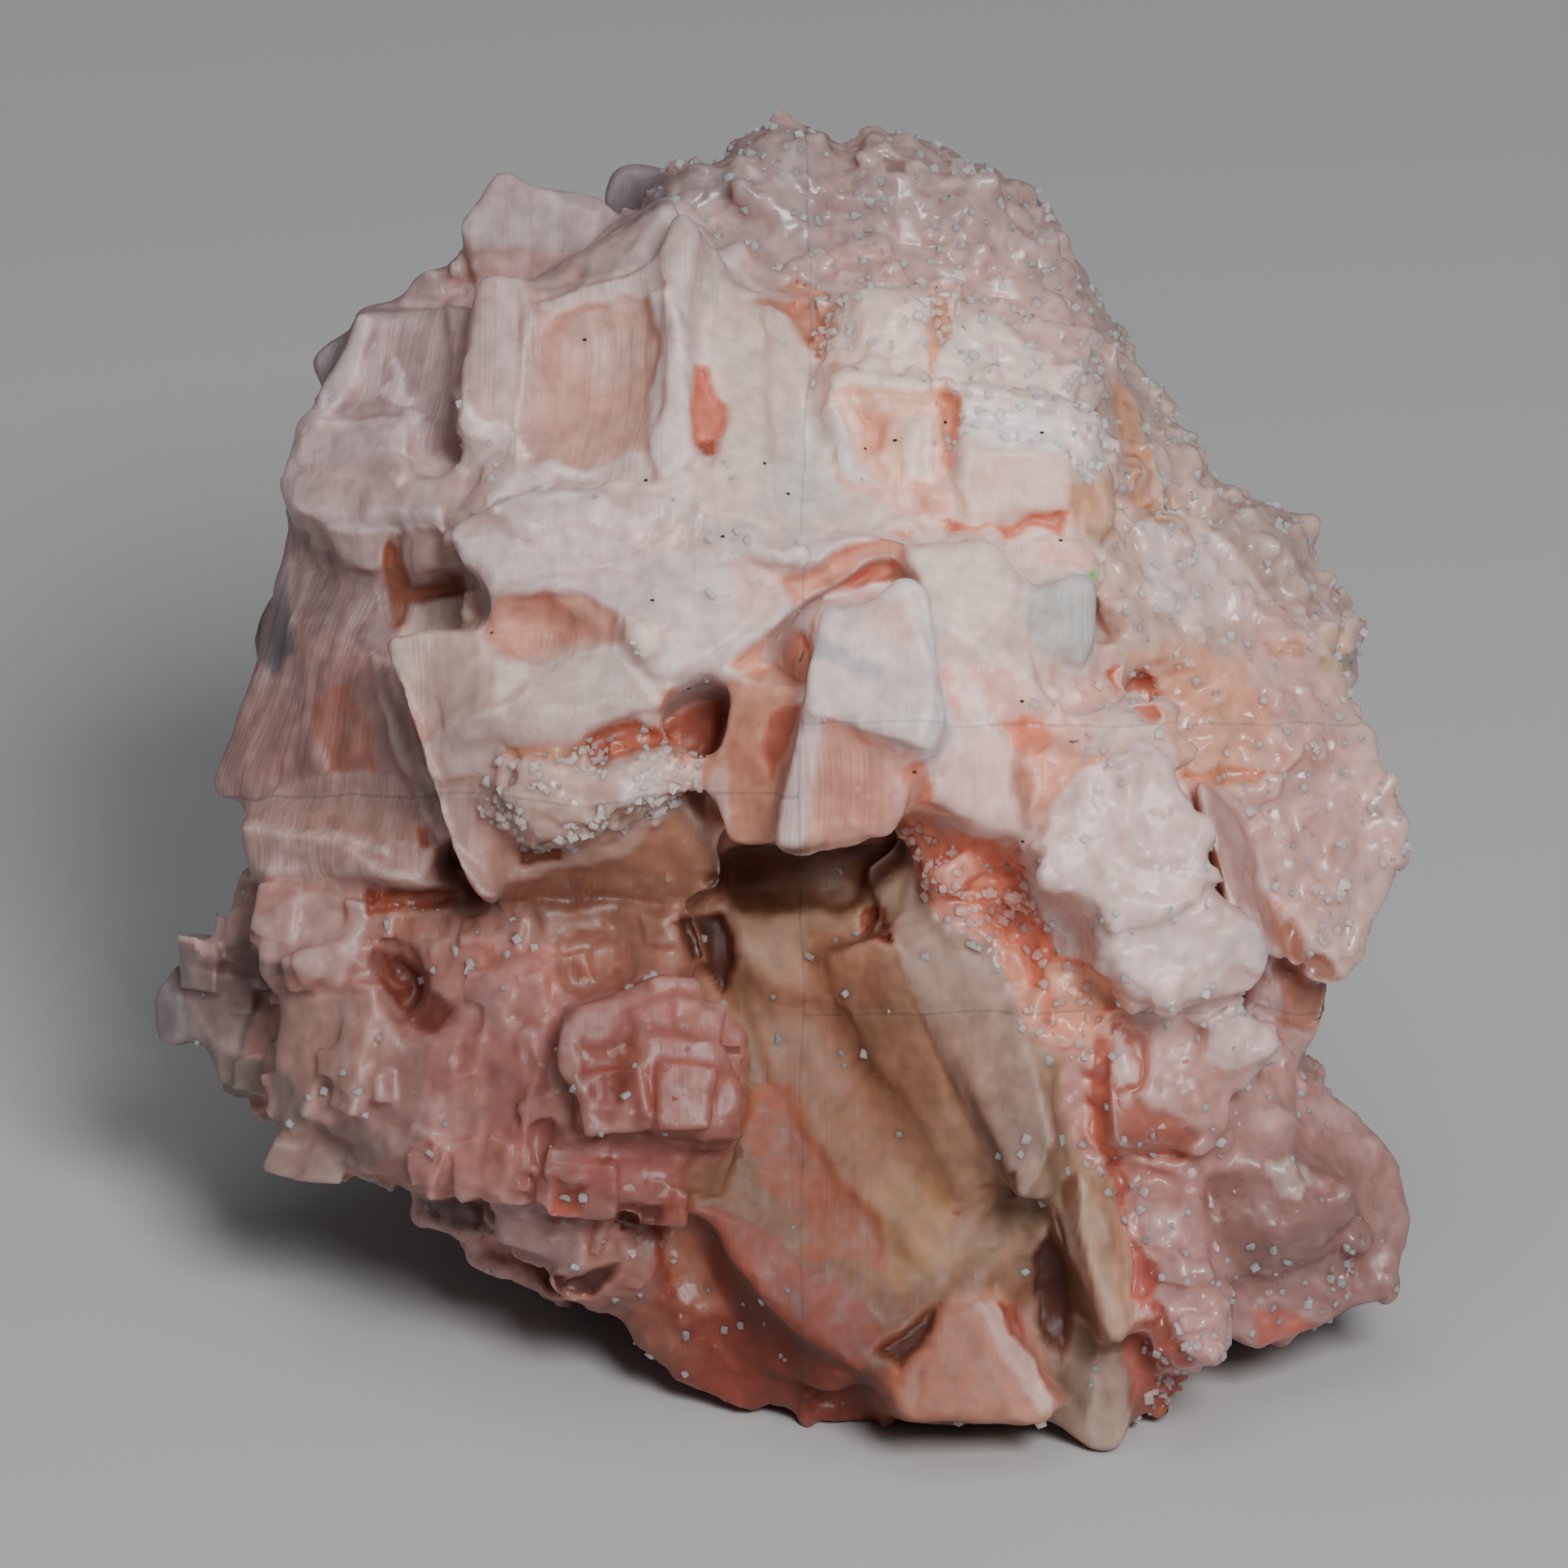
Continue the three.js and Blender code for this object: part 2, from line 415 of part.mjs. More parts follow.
const scales = {
  upper: plate(
    [[19, -4.6], [20.3, -1.2], [23.4, 2.3], [26.2, 3.8], [27.1, 2.6], [30.3, 0.4], [32.1, -2.8],
      [31.8, -7.1], [29.6, -9.6], [24.6, -10.3], [20.9, -8.4]],
    { out: 26.5, deep: 10, lean: [-12, 10], ragged: 0.3, every: 2.6, seed: 91 },
  ),
  lower: plate(
    [[22.8, -10.3], [27.1, -8.4], [32.1, -7.1], [33.4, -9], [36.2, -10.3], [37.1, -13.4], [35.9, -15.9],
      [32.1, -17.1], [29, -17.8], [25.3, -15.9], [23.4, -13.4]],
    { out: 24.5, deep: 10, lean: [-2, 16], ragged: 0.3, every: 2.6, seed: 92 },
  ),
  small: plate(
    [[31.5, -17.8], [34.6, -16.8], [38.1, -17.8], [38.2, -20.3], [36.5, -21.8], [33.4, -21.2]],
    { out: 18.5, deep: 8, lean: [-4, 18], ragged: 0.3, seed: 93 },
  ),
  upperKnob: block({ at: [27, 3.8, 23.6], size: [6.4, 5, 9], turn: [-14, 12, 14], worn: 0.14, seed: 94 }),
  rib: face([[31, 1, 14], [34.6, -2, 10], [38.4, -14, 7], [34, -12, 15]], 12),
  backWeb: plate([[35, -7], [39.6, -11.5], [43, -14.8], [42.2, -19], [40, -22], [37, -20], [35, -12]],
    { out: 0, deep: 12, lean: [0, 18] }),
  amberCleft: face(
    [[9.6, -2.4, 18], [19, -4, 20], [25, -18, 18], [15.4, -17, 16]],
    14, { bulge: -0.8, cells: 2 },
  ),
  amberBlock: block({ at: [22, -17, 19], size: [6.4, 5, 8], turn: [6, 6, -24], seed: 97 }),
  amberKnob: lump({ at: [13.4, -6.4, 19], radii: [2.6, 1.8, 2.4], detail: 0, seed: 98 }),
  skirt: face([[22, -18, 18], [38.6, -19, 9], [41, -31, 7], [23, -32, 14]], 18, { bulge: 2, cells: 2 }),
  skirtKnob: block({ at: [29.6, -23.4, 19], size: [8, 6, 9], turn: [-12, 10, 10], worn: 0.14, seed: 99 }),
  skirtKnobLow: block({
    at: [35.4, -26.4, 14.6], size: [7.4, 6.6, 9], turn: [-10, 22, -14], worn: 0.14, seed: 100,
  }),
};

// ---- lower middle: the great clay-coloured crystal ----------------------------------------------

const clayCrystal = {
  leftFace: plate(
    [[-4.8, -5.9], [5.9, -4.6], [8.4, -11.5], [12.1, -12.8], [16.5, -17.8], [20.2, -25.3],
      [20.2, -31.8], [14.6, -38.4], [9.6, -42.1], [6.5, -45.2], [0.9, -42.1], [-4.1, -37.1],
      [-7.3, -30.3], [-2.3, -25.9], [-2.9, -20.9], [-6, -13.4], [-7.6, -9.6]],
    { out: 12.5, deep: 20, lean: [-14, 2] },
  ),
  rightPlate: plate(
    [[5.9, -4.8], [9, -3.2], [10.3, -5.9], [14.6, -13.4], [20.3, -22.8], [21, -27.1], [20.3, -32.2],
      [17.2, -31.6], [11.5, -17.8], [8.4, -11.5]],
    { out: 17.5, deep: 8, lean: [-14, -14] },
  ),
  redFoot: face([[-11, -29.6, 9], [0, -30, 14], [5, -46, 15], [-8, -43.6, 4]], 16, { bulge: 1, cells: 2 }),
  redKnob: block({ at: [-4.2, -44.6, 7], size: [7, 4.6, 10], turn: [8, -6, -20], seed: 111 }),
  footCrust: plate([[-1.4, -45.6], [1.5, -45], [7.8, -45.2], [9, -48], [4.6, -48.9], [2.1, -48.7]],
    { out: 8, deep: 12, lean: [8, 0] }),
};

// ---- bottom right: plates that stand on edge, and the fan ---------------------------------------

const standingPlates = {
  layeredPlate: plate(
    [[9, -42.8], [14, -37.8], [16.2, -39], [19, -42.8], [20.7, -46.8], [19.9, -48.3], [14.6, -48.5],
      [10.3, -48.1], [8.1, -47.1], [8.4, -45.3]],
    { out: 16.5, deep: 9, lean: [-10, 12] },
  ),
  tallPlate: plate(
    [[20.6, -29], [22.8, -29.6], [24.8, -32.1], [25.6, -39.6], [25.8, -42.1], [23.9, -42.4],
      [22.1, -37.1], [20.3, -33.4]],
    { out: 18, deep: 11, lean: [0, 10] },
  ),
  spike: plate(
    [[20.4, -38.6], [24.6, -39], [26.5, -45.9], [26.2, -48.7], [25.3, -51.2], [23.7, -51.4],
      [21.5, -49.3], [19.9, -48.1]],
    { out: 12.5, deep: 22, lean: [4, 10], taper: 1 },
  ),
  redBack: plate([[25.3, -42.1], [30.3, -42.1], [30.3, -44.6], [29.5, -46.8], [26.8, -49], [26.2, -45.9]],
    { out: 9, deep: 14, taper: 1 }),
  crustPlate: plate(
    [[25.9, -31.5], [28.4, -30.6], [31.5, -31.5], [32.1, -35.3], [33.7, -37.8], [33.9, -42.1],
      [32.1, -44.6], [29.6, -45.3], [28.4, -42.1], [26.2, -38.4]],
    { out: 15.5, deep: 10, lean: [-2, 8], ragged: 0.35, every: 2.4, seed: 121 },
  ),
  fan: plate(
    [[32.1, -27.1], [35.9, -24.6], [39.6, -22.1], [43.4, -24], [46.2, -26.2], [48.2, -29],
      [48.8, -32.8], [48, -37.1], [47.8, -39], [42.8, -40.3], [39.6, -42.1], [35.9, -43.4], [34, -40.9],
      [32.8, -36.5]],
    { out: 6, deep: 14, lean: [-8, 18], ragged: 0.25, every: 3.6, seed: 122 },
  ),
};

// ---- back: blocks of salt all over the side that faces away -------------------------------------

// Each is [across, up, out, side]: the middle of the block's outer face, and its usual side. The block
// faces away from backMiddle and is turned about that way by an angle of its own.
const backBlocks = [
  [-14, 38, -18, 10], [1, 39, -23, 12], [13, 35, -25, 11], [-29, 25, -17, 11], [-14, 25, -30, 13],
  [3, 25, -36, 14],
  [19, 20, -32, 12], [29, 13, -27, 10], [-36, 9, -16, 10], [-25, 9, -28, 12], [-9, 9, -34, 11],
  [11, 7, -37, 13],
  [26, 1, -32, 12], [38, 0, -20, 10], [-36, -8, -14, 9], [-24, -7, -28, 12], [-5, -8, -39, 13],
  [14, -10, -39, 12],
  [31, -12, -29, 13], [39, -16, -13, 9], [-28, -21, -18, 10], [-14, -24, -35, 13], [5, -25, -39, 14],
  [23, -27, -31, 13], [37, -31, -17, 10],
];
const back = backBlocks.map(([across, up, out, side], index) => {
  const random = randomFrom(200 + index);
  const way = new THREE.Vector3(across, up, out).sub(backMiddle).normalize();
  return block({
    at: [across, up, out],
    size: [side, side * (0.7 + 0.3 * random()), side * 1.4],
    turn: [Math.atan2(-way.y, way.z), Math.asin(way.x), random() * Math.PI].map(THREE.MathUtils.radToDeg),
    seed: 300 + index,
  });
});

// ---- joining ------------------------------------------------------------------------------------

const groups = [
  mass, hopper, tray, cubes, keystone, whiteBlocks, shell, scales, clayCrystal, standingPlates, back,
];
const grown = Manifold.union(groups.flatMap((group) => Object.values(group)));

const stood = geometryOf(grown);
stood.applyMatrix4(new THREE.Matrix4().makeRotationX(THREE.MathUtils.degToRad(90 - faceLean)));
stood.translate(heart.x, heart.y, heart.z);

const belowTable = bareBox(tableSpan, tableSpan, tableSpan);
belowTable.translate(0, 0, -tableSpan / 2);
// Gaps sealed inside the mass are filled, by keeping only its outer skin.
const cluster = solidOf(stood)
  .subtract(solidOf(belowTable))
  .decompose()
  .reduce((largest, skin) => (skin.volume() > largest.volume() ? skin : largest));

const pinkSalt = new THREE.MeshStandardMaterial({ color: 0xd9b7ae, roughness: 0.45, metalness: 0 });
const mesh = new THREE.Mesh(geometryOf(cluster), pinkSalt);
mesh.name = "halite_cluster";

const group = new THREE.Group();
group.add(mesh);
export default group;
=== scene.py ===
# The looks of a hand-sized cluster of pink halite. Every length in the tables is in millimetres.
#
# The crystals are laid out in the frame of the cluster's best face, which leans back by FACE_LEAN:
# across is to the right, up runs up the face, and out runs away from the mass, all from its heart.
# An outline goes across, up, across, up and so on, and a face's corners and other places are across, up
# and out. Blender's own lengths are metres.

import math
import random

import bmesh
import bpy
import numpy as np
from mathutils import Euler, Matrix, Vector
from mathutils.bvhtree import BVHTree


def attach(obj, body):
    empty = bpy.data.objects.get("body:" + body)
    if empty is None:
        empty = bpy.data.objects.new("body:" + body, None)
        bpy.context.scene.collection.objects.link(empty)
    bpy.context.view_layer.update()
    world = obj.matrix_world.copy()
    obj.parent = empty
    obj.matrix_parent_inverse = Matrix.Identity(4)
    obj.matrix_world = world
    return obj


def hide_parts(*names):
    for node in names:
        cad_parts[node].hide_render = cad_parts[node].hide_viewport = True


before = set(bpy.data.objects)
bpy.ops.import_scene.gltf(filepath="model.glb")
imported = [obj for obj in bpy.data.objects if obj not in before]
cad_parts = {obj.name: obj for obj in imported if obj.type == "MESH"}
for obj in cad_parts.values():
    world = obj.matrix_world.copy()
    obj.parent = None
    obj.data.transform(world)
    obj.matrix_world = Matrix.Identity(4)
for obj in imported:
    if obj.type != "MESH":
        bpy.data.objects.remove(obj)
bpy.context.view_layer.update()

# ---- driving sizes ------------------------------------------------------------------------------

NODE = "halite_cluster"
FACE_LEAN = 25.0
HEART = (0.35, -5.0, 41.5)
FINE = 0.33  # the mesh size of the best face
COARSE = 0.55  # the mesh size of the far side
BASE = 0.45  # the mesh size of the mass before its small crystals grow
HEAL = 1.5  # gaps up to twice this wide are grown shut
OVERLAP = 2.5  # how far the pieces of the mass reach into one another
COARSEST = 0.9  # the mesh size of the mass where only its broad form counts
HIDDEN_CELL = 2  # the mesh size inside the mass, where nothing shows
FAR_CRYSTAL = 11  # how wide the crystals of the far side are
OWN_REACH = 2.2  # how far from a crystal of the tables the salt is still its own
THICKEST = 9.0  # how deep the mass is looked into, where its thickness counts
SEAM_LAP = 0.4  # how far a piece runs past its own box before it sinks away
SEAM_WIDTH = 0.32  # how wide the painted light along a seam is
SEAM_LIGHT = (0.28, 0.26, 0.25)  # how much painted light it gives, in red, green and blue
LIFT = 0.00001  # how much higher each piece rests than the one before, in metres
TABLE_CLEARANCE = 0.001  # how high above the table its lowest grains grow, in metres
CAMERA_DISTANCE = 900.0
VIEW_WIDTH = 120.75
SENSOR = 36.0

# ---- kinds of crystal ---------------------------------------------------------------------------

# Each kind returns {"points", "faces", "axes"}: a closed mesh of triangles in the frame of the best
# face, and the crystal's own three directions as the columns of a matrix.


def triangles_of(points, faces):
    """Many-cornered faces as rows of three corners."""
    mesh = bpy.data.meshes.new("shape")
    mesh.from_pydata([tuple(p) for p in points], [], faces)
    rows = corner_rows(mesh)
    bpy.data.meshes.remove(mesh)
    return rows


def corner_rows(mesh):
    """A mesh's triangles as rows of three corners."""
    mesh.calc_loop_triangles()
    rows = np.empty(len(mesh.loop_triangles) * 3, dtype=np.int32)
    mesh.loop_triangles.foreach_get("vertices", rows)
    return rows.reshape(-1, 3).astype(np.int64)


def places_of(mesh):
    """A mesh's points as rows of three numbers."""
    places = np.empty(len(mesh.vertices) * 3, dtype=np.float32)
    mesh.vertices.foreach_get("co", places)
    return places.reshape(-1, 3).astype(np.float64)


def mesh_from(name, points, faces):
    """A new mesh with those points, and with faces that all have as many corners."""
    mesh = bpy.data.meshes.new(name)
    corners = faces.shape[1]
    mesh.vertices.add(len(points))
    mesh.vertices.foreach_set("co", points.astype(np.float32).ravel())
    mesh.loops.add(faces.size)
    mesh.loops.foreach_set("vertex_index", faces.astype(np.int32).ravel())
    mesh.polygons.add(len(faces))
    mesh.polygons.foreach_set("loop_start", np.arange(0, faces.size, corners, dtype=np.int32))
    mesh.update(calc_edges=True)
    return mesh


def turned(degrees):
    """The matrix that turns about across, then up, then out, in the crystal's own frame."""
    x, y, z = (math.radians(d) for d in degrees)
    return np.array(Matrix.Rotation(x, 3, "X") @ Matrix.Rotation(y, 3, "Y") @ Matrix.Rotation(z, 3, "Z"))


def grid_box(cells):
    """A unit box around the origin as (points, faces), with its front in cells x cells squares."""
    steps = np.linspace(-0.5, 0.5, cells + 1)
    points = [(x, y, 0.5) for y in steps for x in steps]
    faces = []
    row = cells + 1
    for j in range(cells):
        for i in range(cells):
            a = j * row + i
            faces.append((a, a + 1, a + row + 1, a + row))
    rim = [i for i in range(row)]
    rim += [j * row + cells for j in range(1, row)]
    rim += [cells * row + i for i in range(cells - 1, -1, -1)]
    rim += [j * row for j in range(cells - 1, 0, -1)]
    first = len(points)
    points += [(points[i][0], points[i][1], -0.5) for i in rim]
    count = len(rim)
    for k in range(count):
        after = (k + 1) % count
        faces.append((rim[k], first + k, first + after, rim[after]))
    faces.append(tuple(first + k for k in reversed(range(count))))
    return np.array(points), triangles_of(points, faces)


def block(at, size, turn=(0, 0, 0), worn=0.08, seed=1):
    """A crystal block. at is the middle of its front face, and size is (width, height, depth)."""
    chance = random.Random(seed)
    depth = size[2]
    points, faces = grid_box(1)
    points = points * (size[0], size[1], depth)
    points += [[s * worn * chance.uniform(-1, 1) for s in size] for _ in points]
    points[:, 2] -= depth / 2
    axes = turned(turn)
    return {"points": points @ axes.T + at, "faces": faces, "axes": axes}


def face(corners, deep, bulge=0, cells=1, taper=0.86):
    """A four-cornered crystal face with its body behind it, which shrinks to the share taper.

    The corners are across, up, out and so on, clockwise from the upper left one.
    """
    top_left, top_right, bottom_right, bottom_left = np.array(corners, float).reshape(4, 3)
    middle = (top_left + top_right + bottom_right + bottom_left) / 4
    points, faces = grid_box(max(cells, 3) if bulge else cells)
    s = points[:, 0:1] + 0.5
    t = 0.5 - points[:, 1:2]
    top = top_left + (top_right - top_left) * s
    bottom = bottom_left + (bottom_right - bottom_left) * s
    placed = top + (bottom - top) * t
    front = points[:, 2] > 0
    placed[front, 2] += (bulge * 16 * s * (1 - s) * t * (1 - t))[front, 0]
    placed[~front] = (placed[~front] - middle) * taper + middle
    placed[~front, 2] -= deep
    right = top_right + bottom_right - top_left - bottom_left
    up = top_left + top_right - bottom_left - bottom_right
    return {"points": placed, "faces": faces, "axes": upright(right, up)}


def upright(right, up):
    """A right-handed set of directions from a rough right and a rough up, as columns."""
    right = right / np.linalg.norm(right)
    away = np.cross(right, up)
    away = away / np.linalg.norm(away)
    return np.stack([right, np.cross(away, right), away], axis=1)


def plate(outline, out, deep, lean=(0, 0), ragged=0, every=3, seed=1, taper=0.8):
    """A many-sided crystal plate: across, up, across, up and so on. lean is (face down, face right)."""
    chance = random.Random(seed)
    outline = list(zip(outline[::2], outline[1::2]))
    corners = []
    for (x, y), (next_x, next_y) in zip(outline, outline[1:] + outline[:1]):
        length = math.hypot(next_x - x, next_y - y)
        parts = max(1, round(length / every)) if ragged else 1
        for k in range(parts):
            wander = ragged * chance.uniform(-1, 1) / length if k else 0
            along = k / parts
            corners.append((
                x + (next_x - x) * along + (y - next_y) * wander,
                y + (next_y - y) * along + (next_x - x) * wander,
            ))
    corners = np.array(corners)
    if np.sum(corners[:, 0] * np.roll(corners[:, 1], -1) - np.roll(corners[:, 0], -1) * corners[:, 1]) < 0:
        corners = corners[::-1]
    middle = (corners.min(axis=0) + corners.max(axis=0)) / 2
    count = len(corners)
    front = np.column_stack([corners - middle, np.zeros(count)])
    back = np.column_stack([(corners - middle) * taper, np.full(count, -deep)])
    faces = [tuple(range(count)), tuple(reversed(range(count, 2 * count)))]
    faces += [(k, k + count, (k + 1) % count + count, (k + 1) % count) for k in range(count)]
    axes = turned((*lean, 0))
    points = np.vstack([front, back]) @ axes.T + (*middle, out)
    return {"points": points, "faces": triangles_of(points, faces), "axes": axes}


def lump(at, radii, rough=0.1, detail=1, seed=1):
    """A lump of salt: a ball with the half-sizes radii, whose surface is rough by up to that share."""
    chance = random.Random(seed)
    ball = bpy.data.meshes.new("ball")
    builder = bmesh.new()
    bmesh.ops.create_icosphere(builder, subdivisions=detail + 1, radius=1)
    builder.to_mesh(ball)
    builder.free()
    points, faces = places_of(ball), corner_rows(ball)
    bpy.data.meshes.remove(ball)
    points *= [[1 + rough * chance.uniform(-1, 1)] for _ in points]
    axes = turned([chance.uniform(-40, 40) for _ in range(3)])
    return {"points": points * radii + at, "faces": faces, "axes": axes}


# ---- the crystals -------------------------------------------------------------------------------

# ---- upper left: the great hopper

hopper = dict(
    peak=plate((-22.9, 49.1, -21.3, 48.6, -19.8, 47.1, -16.3, 46.8, -14, 45.9, -12.4, 43.5, -10.4, 41.6,
        -12.3, 37, -19.8, 37, -23.5, 39.4, -24.4, 41, -25.4, 43.6, -24.4, 45.7), out=-2, deep=16,
        lean=(-16, -12), ragged=0.3, seed=21),
    smokyBack=plate((-14.2, 46.2, -13.4, 47.9, -11.9, 48.5, -9.4, 47.8, -7.3, 47.5, -6, 43, -12, 42.5,
        -13.8, 44.4), out=-13, deep=10),
    backSteps=plate((-32.9, 36.8, -32.6, 38.5, -31.1, 38, -29.6, 38.5, -28.2, 40.3, -25.4, 41.1, -22.9, 41,
        -20, 39.5, -19, 34, -26, 33, -32.3, 33), out=-5, deep=16, lean=(-16, -16)),
    backCorner=plate((-36.9, 32.6, -36.3, 33.8, -34.8, 34.9, -32.5, 35.4, -31, 31, -35.9, 30.8), out=-12,
        deep=10),
    leftWall=face((-32.8, 36.8, -3, -24.7, 36.6, 2, -24.6, 26, 6, -37, 27, -1), 16),
    leftRim=plate((-32.9, 37, -31.1, 36.6, -33.4, 29, -35.8, 23.6, -38.9, 22.4, -38.3, 25, -36.2, 30),
        out=-0.5, deep=10, lean=(0, -22)),
    whiteBlock=face((-37.1, 28.2, 0, -28.8, 28, 5.5, -28.6, 23.6, 7, -38.2, 23.4, 0.5), 8),
    prism=plate((-23.5, 39.2, -19.8, 39.5, -18.6, 37.6, -18.8, 35.4, -20.4, 29.2, -22.2, 27.3, -24.8, 26.6,
        -25.3, 27.9, -24.4, 35.4), out=9, deep=14, lean=(-14, -8)),
    prismRim=plate((-25.2, 29, -23.8, 29.2, -23.2, 27.4, -20.4, 26.6, -18.6, 25.4, -19.2, 24.4, -23.5, 25,
        -25.4, 26.2), out=11.5, deep=6, lean=(0, -8)),
    hood=face((-19.6, 38.4, 5, -8.6, 45.4, 5.5, -7.6, 39, 10, -18.6, 35.6, 8.5), 9),
    basin=face((-19.8, 37, 9, -8.8, 40.6, 11, -8, 22.8, 19, -20.2, 24.6, 14), 16, bulge=-6, cells=3),
    fin=plate((-9.3, 44, -7.9, 44.8, -6.5, 43.6, -6.8, 41.6, -7.6, 36.6, -7.7, 32.3, -7.3, 27.9, -7.1, 22.9,
        -8.5, 21.3, -10.4, 21.6, -10.7, 23.5, -9.9, 26.6, -8.8, 32.9, -8.6, 36.6, -9.6, 41.6), out=14.5,
        deep=12, lean=(-20, -20)),
)

ledges = dict(
    leftLedge=face((-38.9, 23.2, 1, -25.5, 23.2, 11, -25, 20, 13, -38.4, 20.4, 2), 14),
    underWall=face((-38.2, 21.4, -2, -24, 20.4, 6, -24, 10, 8, -39, 13, -3), 14),
    hangingBlock=face((-35.8, 21, 2.5, -29.9, 20.6, 7, -30.4, 15.9, 6.5, -34.2, 15.8, 3), 6),
    hangingBlockRight=face((-29.4, 21, 8, -24.4, 20.6, 11, -24.4, 15.6, 10.5, -29, 15.9, 8), 6),
    curtain=face((-3.5, 38.5, 8, 0.8, 37.4, 6, 9.2, 18.4, 18, -5.5, 21, 21), 14, bulge=-2.4, cells=3),
    curtainEdge=face((-5, 33, 12.5, -2, 37.5, 9, -1, 20, 21, -6.2, 21, 19.5), 8),
    shelf=face((-22, 24.6, 12, -5, 22.4, 18, 1, 17, 24, -26, 19, 14), 14, bulge=1, cells=2),
    scarp=plate((-26, 20.6, -22.6, 22.4, -18, 21.2, -11, 19.8, -4, 19.6, 2, 18.6, 9, 18.4, 5.3, 15.4,
        2.1, 14.6, 0.6, 12.2, -1.6, 10.4, -3.8, 8, -6, 8.2, -8.5, 7.3, -10.4, 8.5, -12.9, 10.4, -16.6, 13.8,
        -20.4, 14.4, -22.2, 13.8, -23.5, 16.6, -25, 17.2), out=21, deep=14, lean=(-20, -6)),
    shelfRim=plate((-22.4, 21.6, -20.6, 23.4, -17, 23.2, -12.4, 22.2, -8, 21.4, -9.4, 19.4, -15.6, 19.4,
        -20.8, 18.6), out=19, deep=8, lean=(-30, -6)),
    underLedge=face((-23, 14.6, 14, -7, 12, 18, -8, 5, 16, -25, 8, 13), 10),
    nub=lump((-10.3, 11.4, 22), radii=(1.7, 1.9, 2.4), seed=25, detail=0),
)

# ---- left: the slanting tray, its frame and the long wedge

tray = dict(
    frameBar=plate((-31, 11, -29.6, 11.3, -27.8, 6.6, -25.2, 1, -22.8, -4.6, -20.4, -9, -21.6, -9.9,
        -23.5, -7.8, -26.4, -2.1, -29.2, 5.4), out=17.5, deep=12, lean=(4, -24)),
    upperSlab=plate((-30.4, 11, -26.6, 12.3, -20.4, 10.4, -16.6, 9.8, -11.6, 10.4, -8.5, 7.3, -9.1, 5.4,
        -14.1, 5.1, -19.1, 4.1, -22.3, 2.3, -24.4, 0.4, -26.3, 1, -27.9, 5.4), out=19, deep=12,
        lean=(-6, -14)),
    paleFacet=face((-27, 11, 16, -20.6, 10.4, 20, -18, 6, 22, -24, 2.6, 20.5), 5),
    lip=plate((-18, 8.5, -14, 10, -9.6, 9.6, -7.9, 7.5, -8.6, 5.6, -13, 5.4, -17, 4.6, -20.4, 3.4), out=21.5,
        deep=5, lean=(-24, -6), ragged=0.25, seed=32),
    crumblyPlate=plate((-22.4, 1, -19.8, 2.2, -15.4, 2.6, -10.4, 2.3, -7.6, 2.9, -6.8, 1.3, -8.2, -1.2,
        -12.3, -2.4, -16.6, -4, -20.4, -3.4, -22.1, -1.2), out=20.5, deep=7, lean=(-12, -8), ragged=0.4,
        every=2.4, seed=33),
    crumblyBlock=block((-18, 0.4, 22), size=(5.4, 4, 5), turn=(-14, -10, 6), seed=34),
    crumblyBlockRight=block((-10.6, 0.6, 22.4), size=(5.6, 3.8, 5), turn=(-10, 8, 16), seed=35),
    trayFloor=face((-24, 4, 12, -5, 6, 13, -5, -5, 12, -22, -8, 12), 10),
    bottomWall=plate((-22.9, -5.9, -19.1, -5.9, -12.9, -4, -8.5, -1.5, -7.3, -1.2, -4.8, -4.6, -4.6, -7.8,
        -7.9, -9, -14.1, -8.4, -20.4, -9.6, -21.9, -9.6), out=16, deep=10, lean=(14, -4)),
    leftFace=face((-38.6, 17, -3, -30.6, 12, 7, -24.6, -5, 14, -44.6, -1, -3), 18, bulge=1.6, cells=2),
    leftFacet=face((-37.4, 13, 1, -30, 10, 9, -27, 1, 12.5, -36.6, 1.6, 5), 6),
    wedge=plate((-44.3, -1.6, -41.6, -1.2, -35.4, -2.8, -29.1, -5.3, -25.7, -7.4, -26.3, -8.7, -30.4, -8.1,
        -36.6, -7.1, -42.3, -6.8, -43.3, -4.6), out=6.5, deep=14, lean=(-10, -34)),
    smokyEdge=plate((-38.2, 16.4, -37, 8, -40.1, 7.6, -41.6, 11, -40.5, 13.6), out=-10, deep=10),
)

# ---- lower left: cubes that step down to the tip

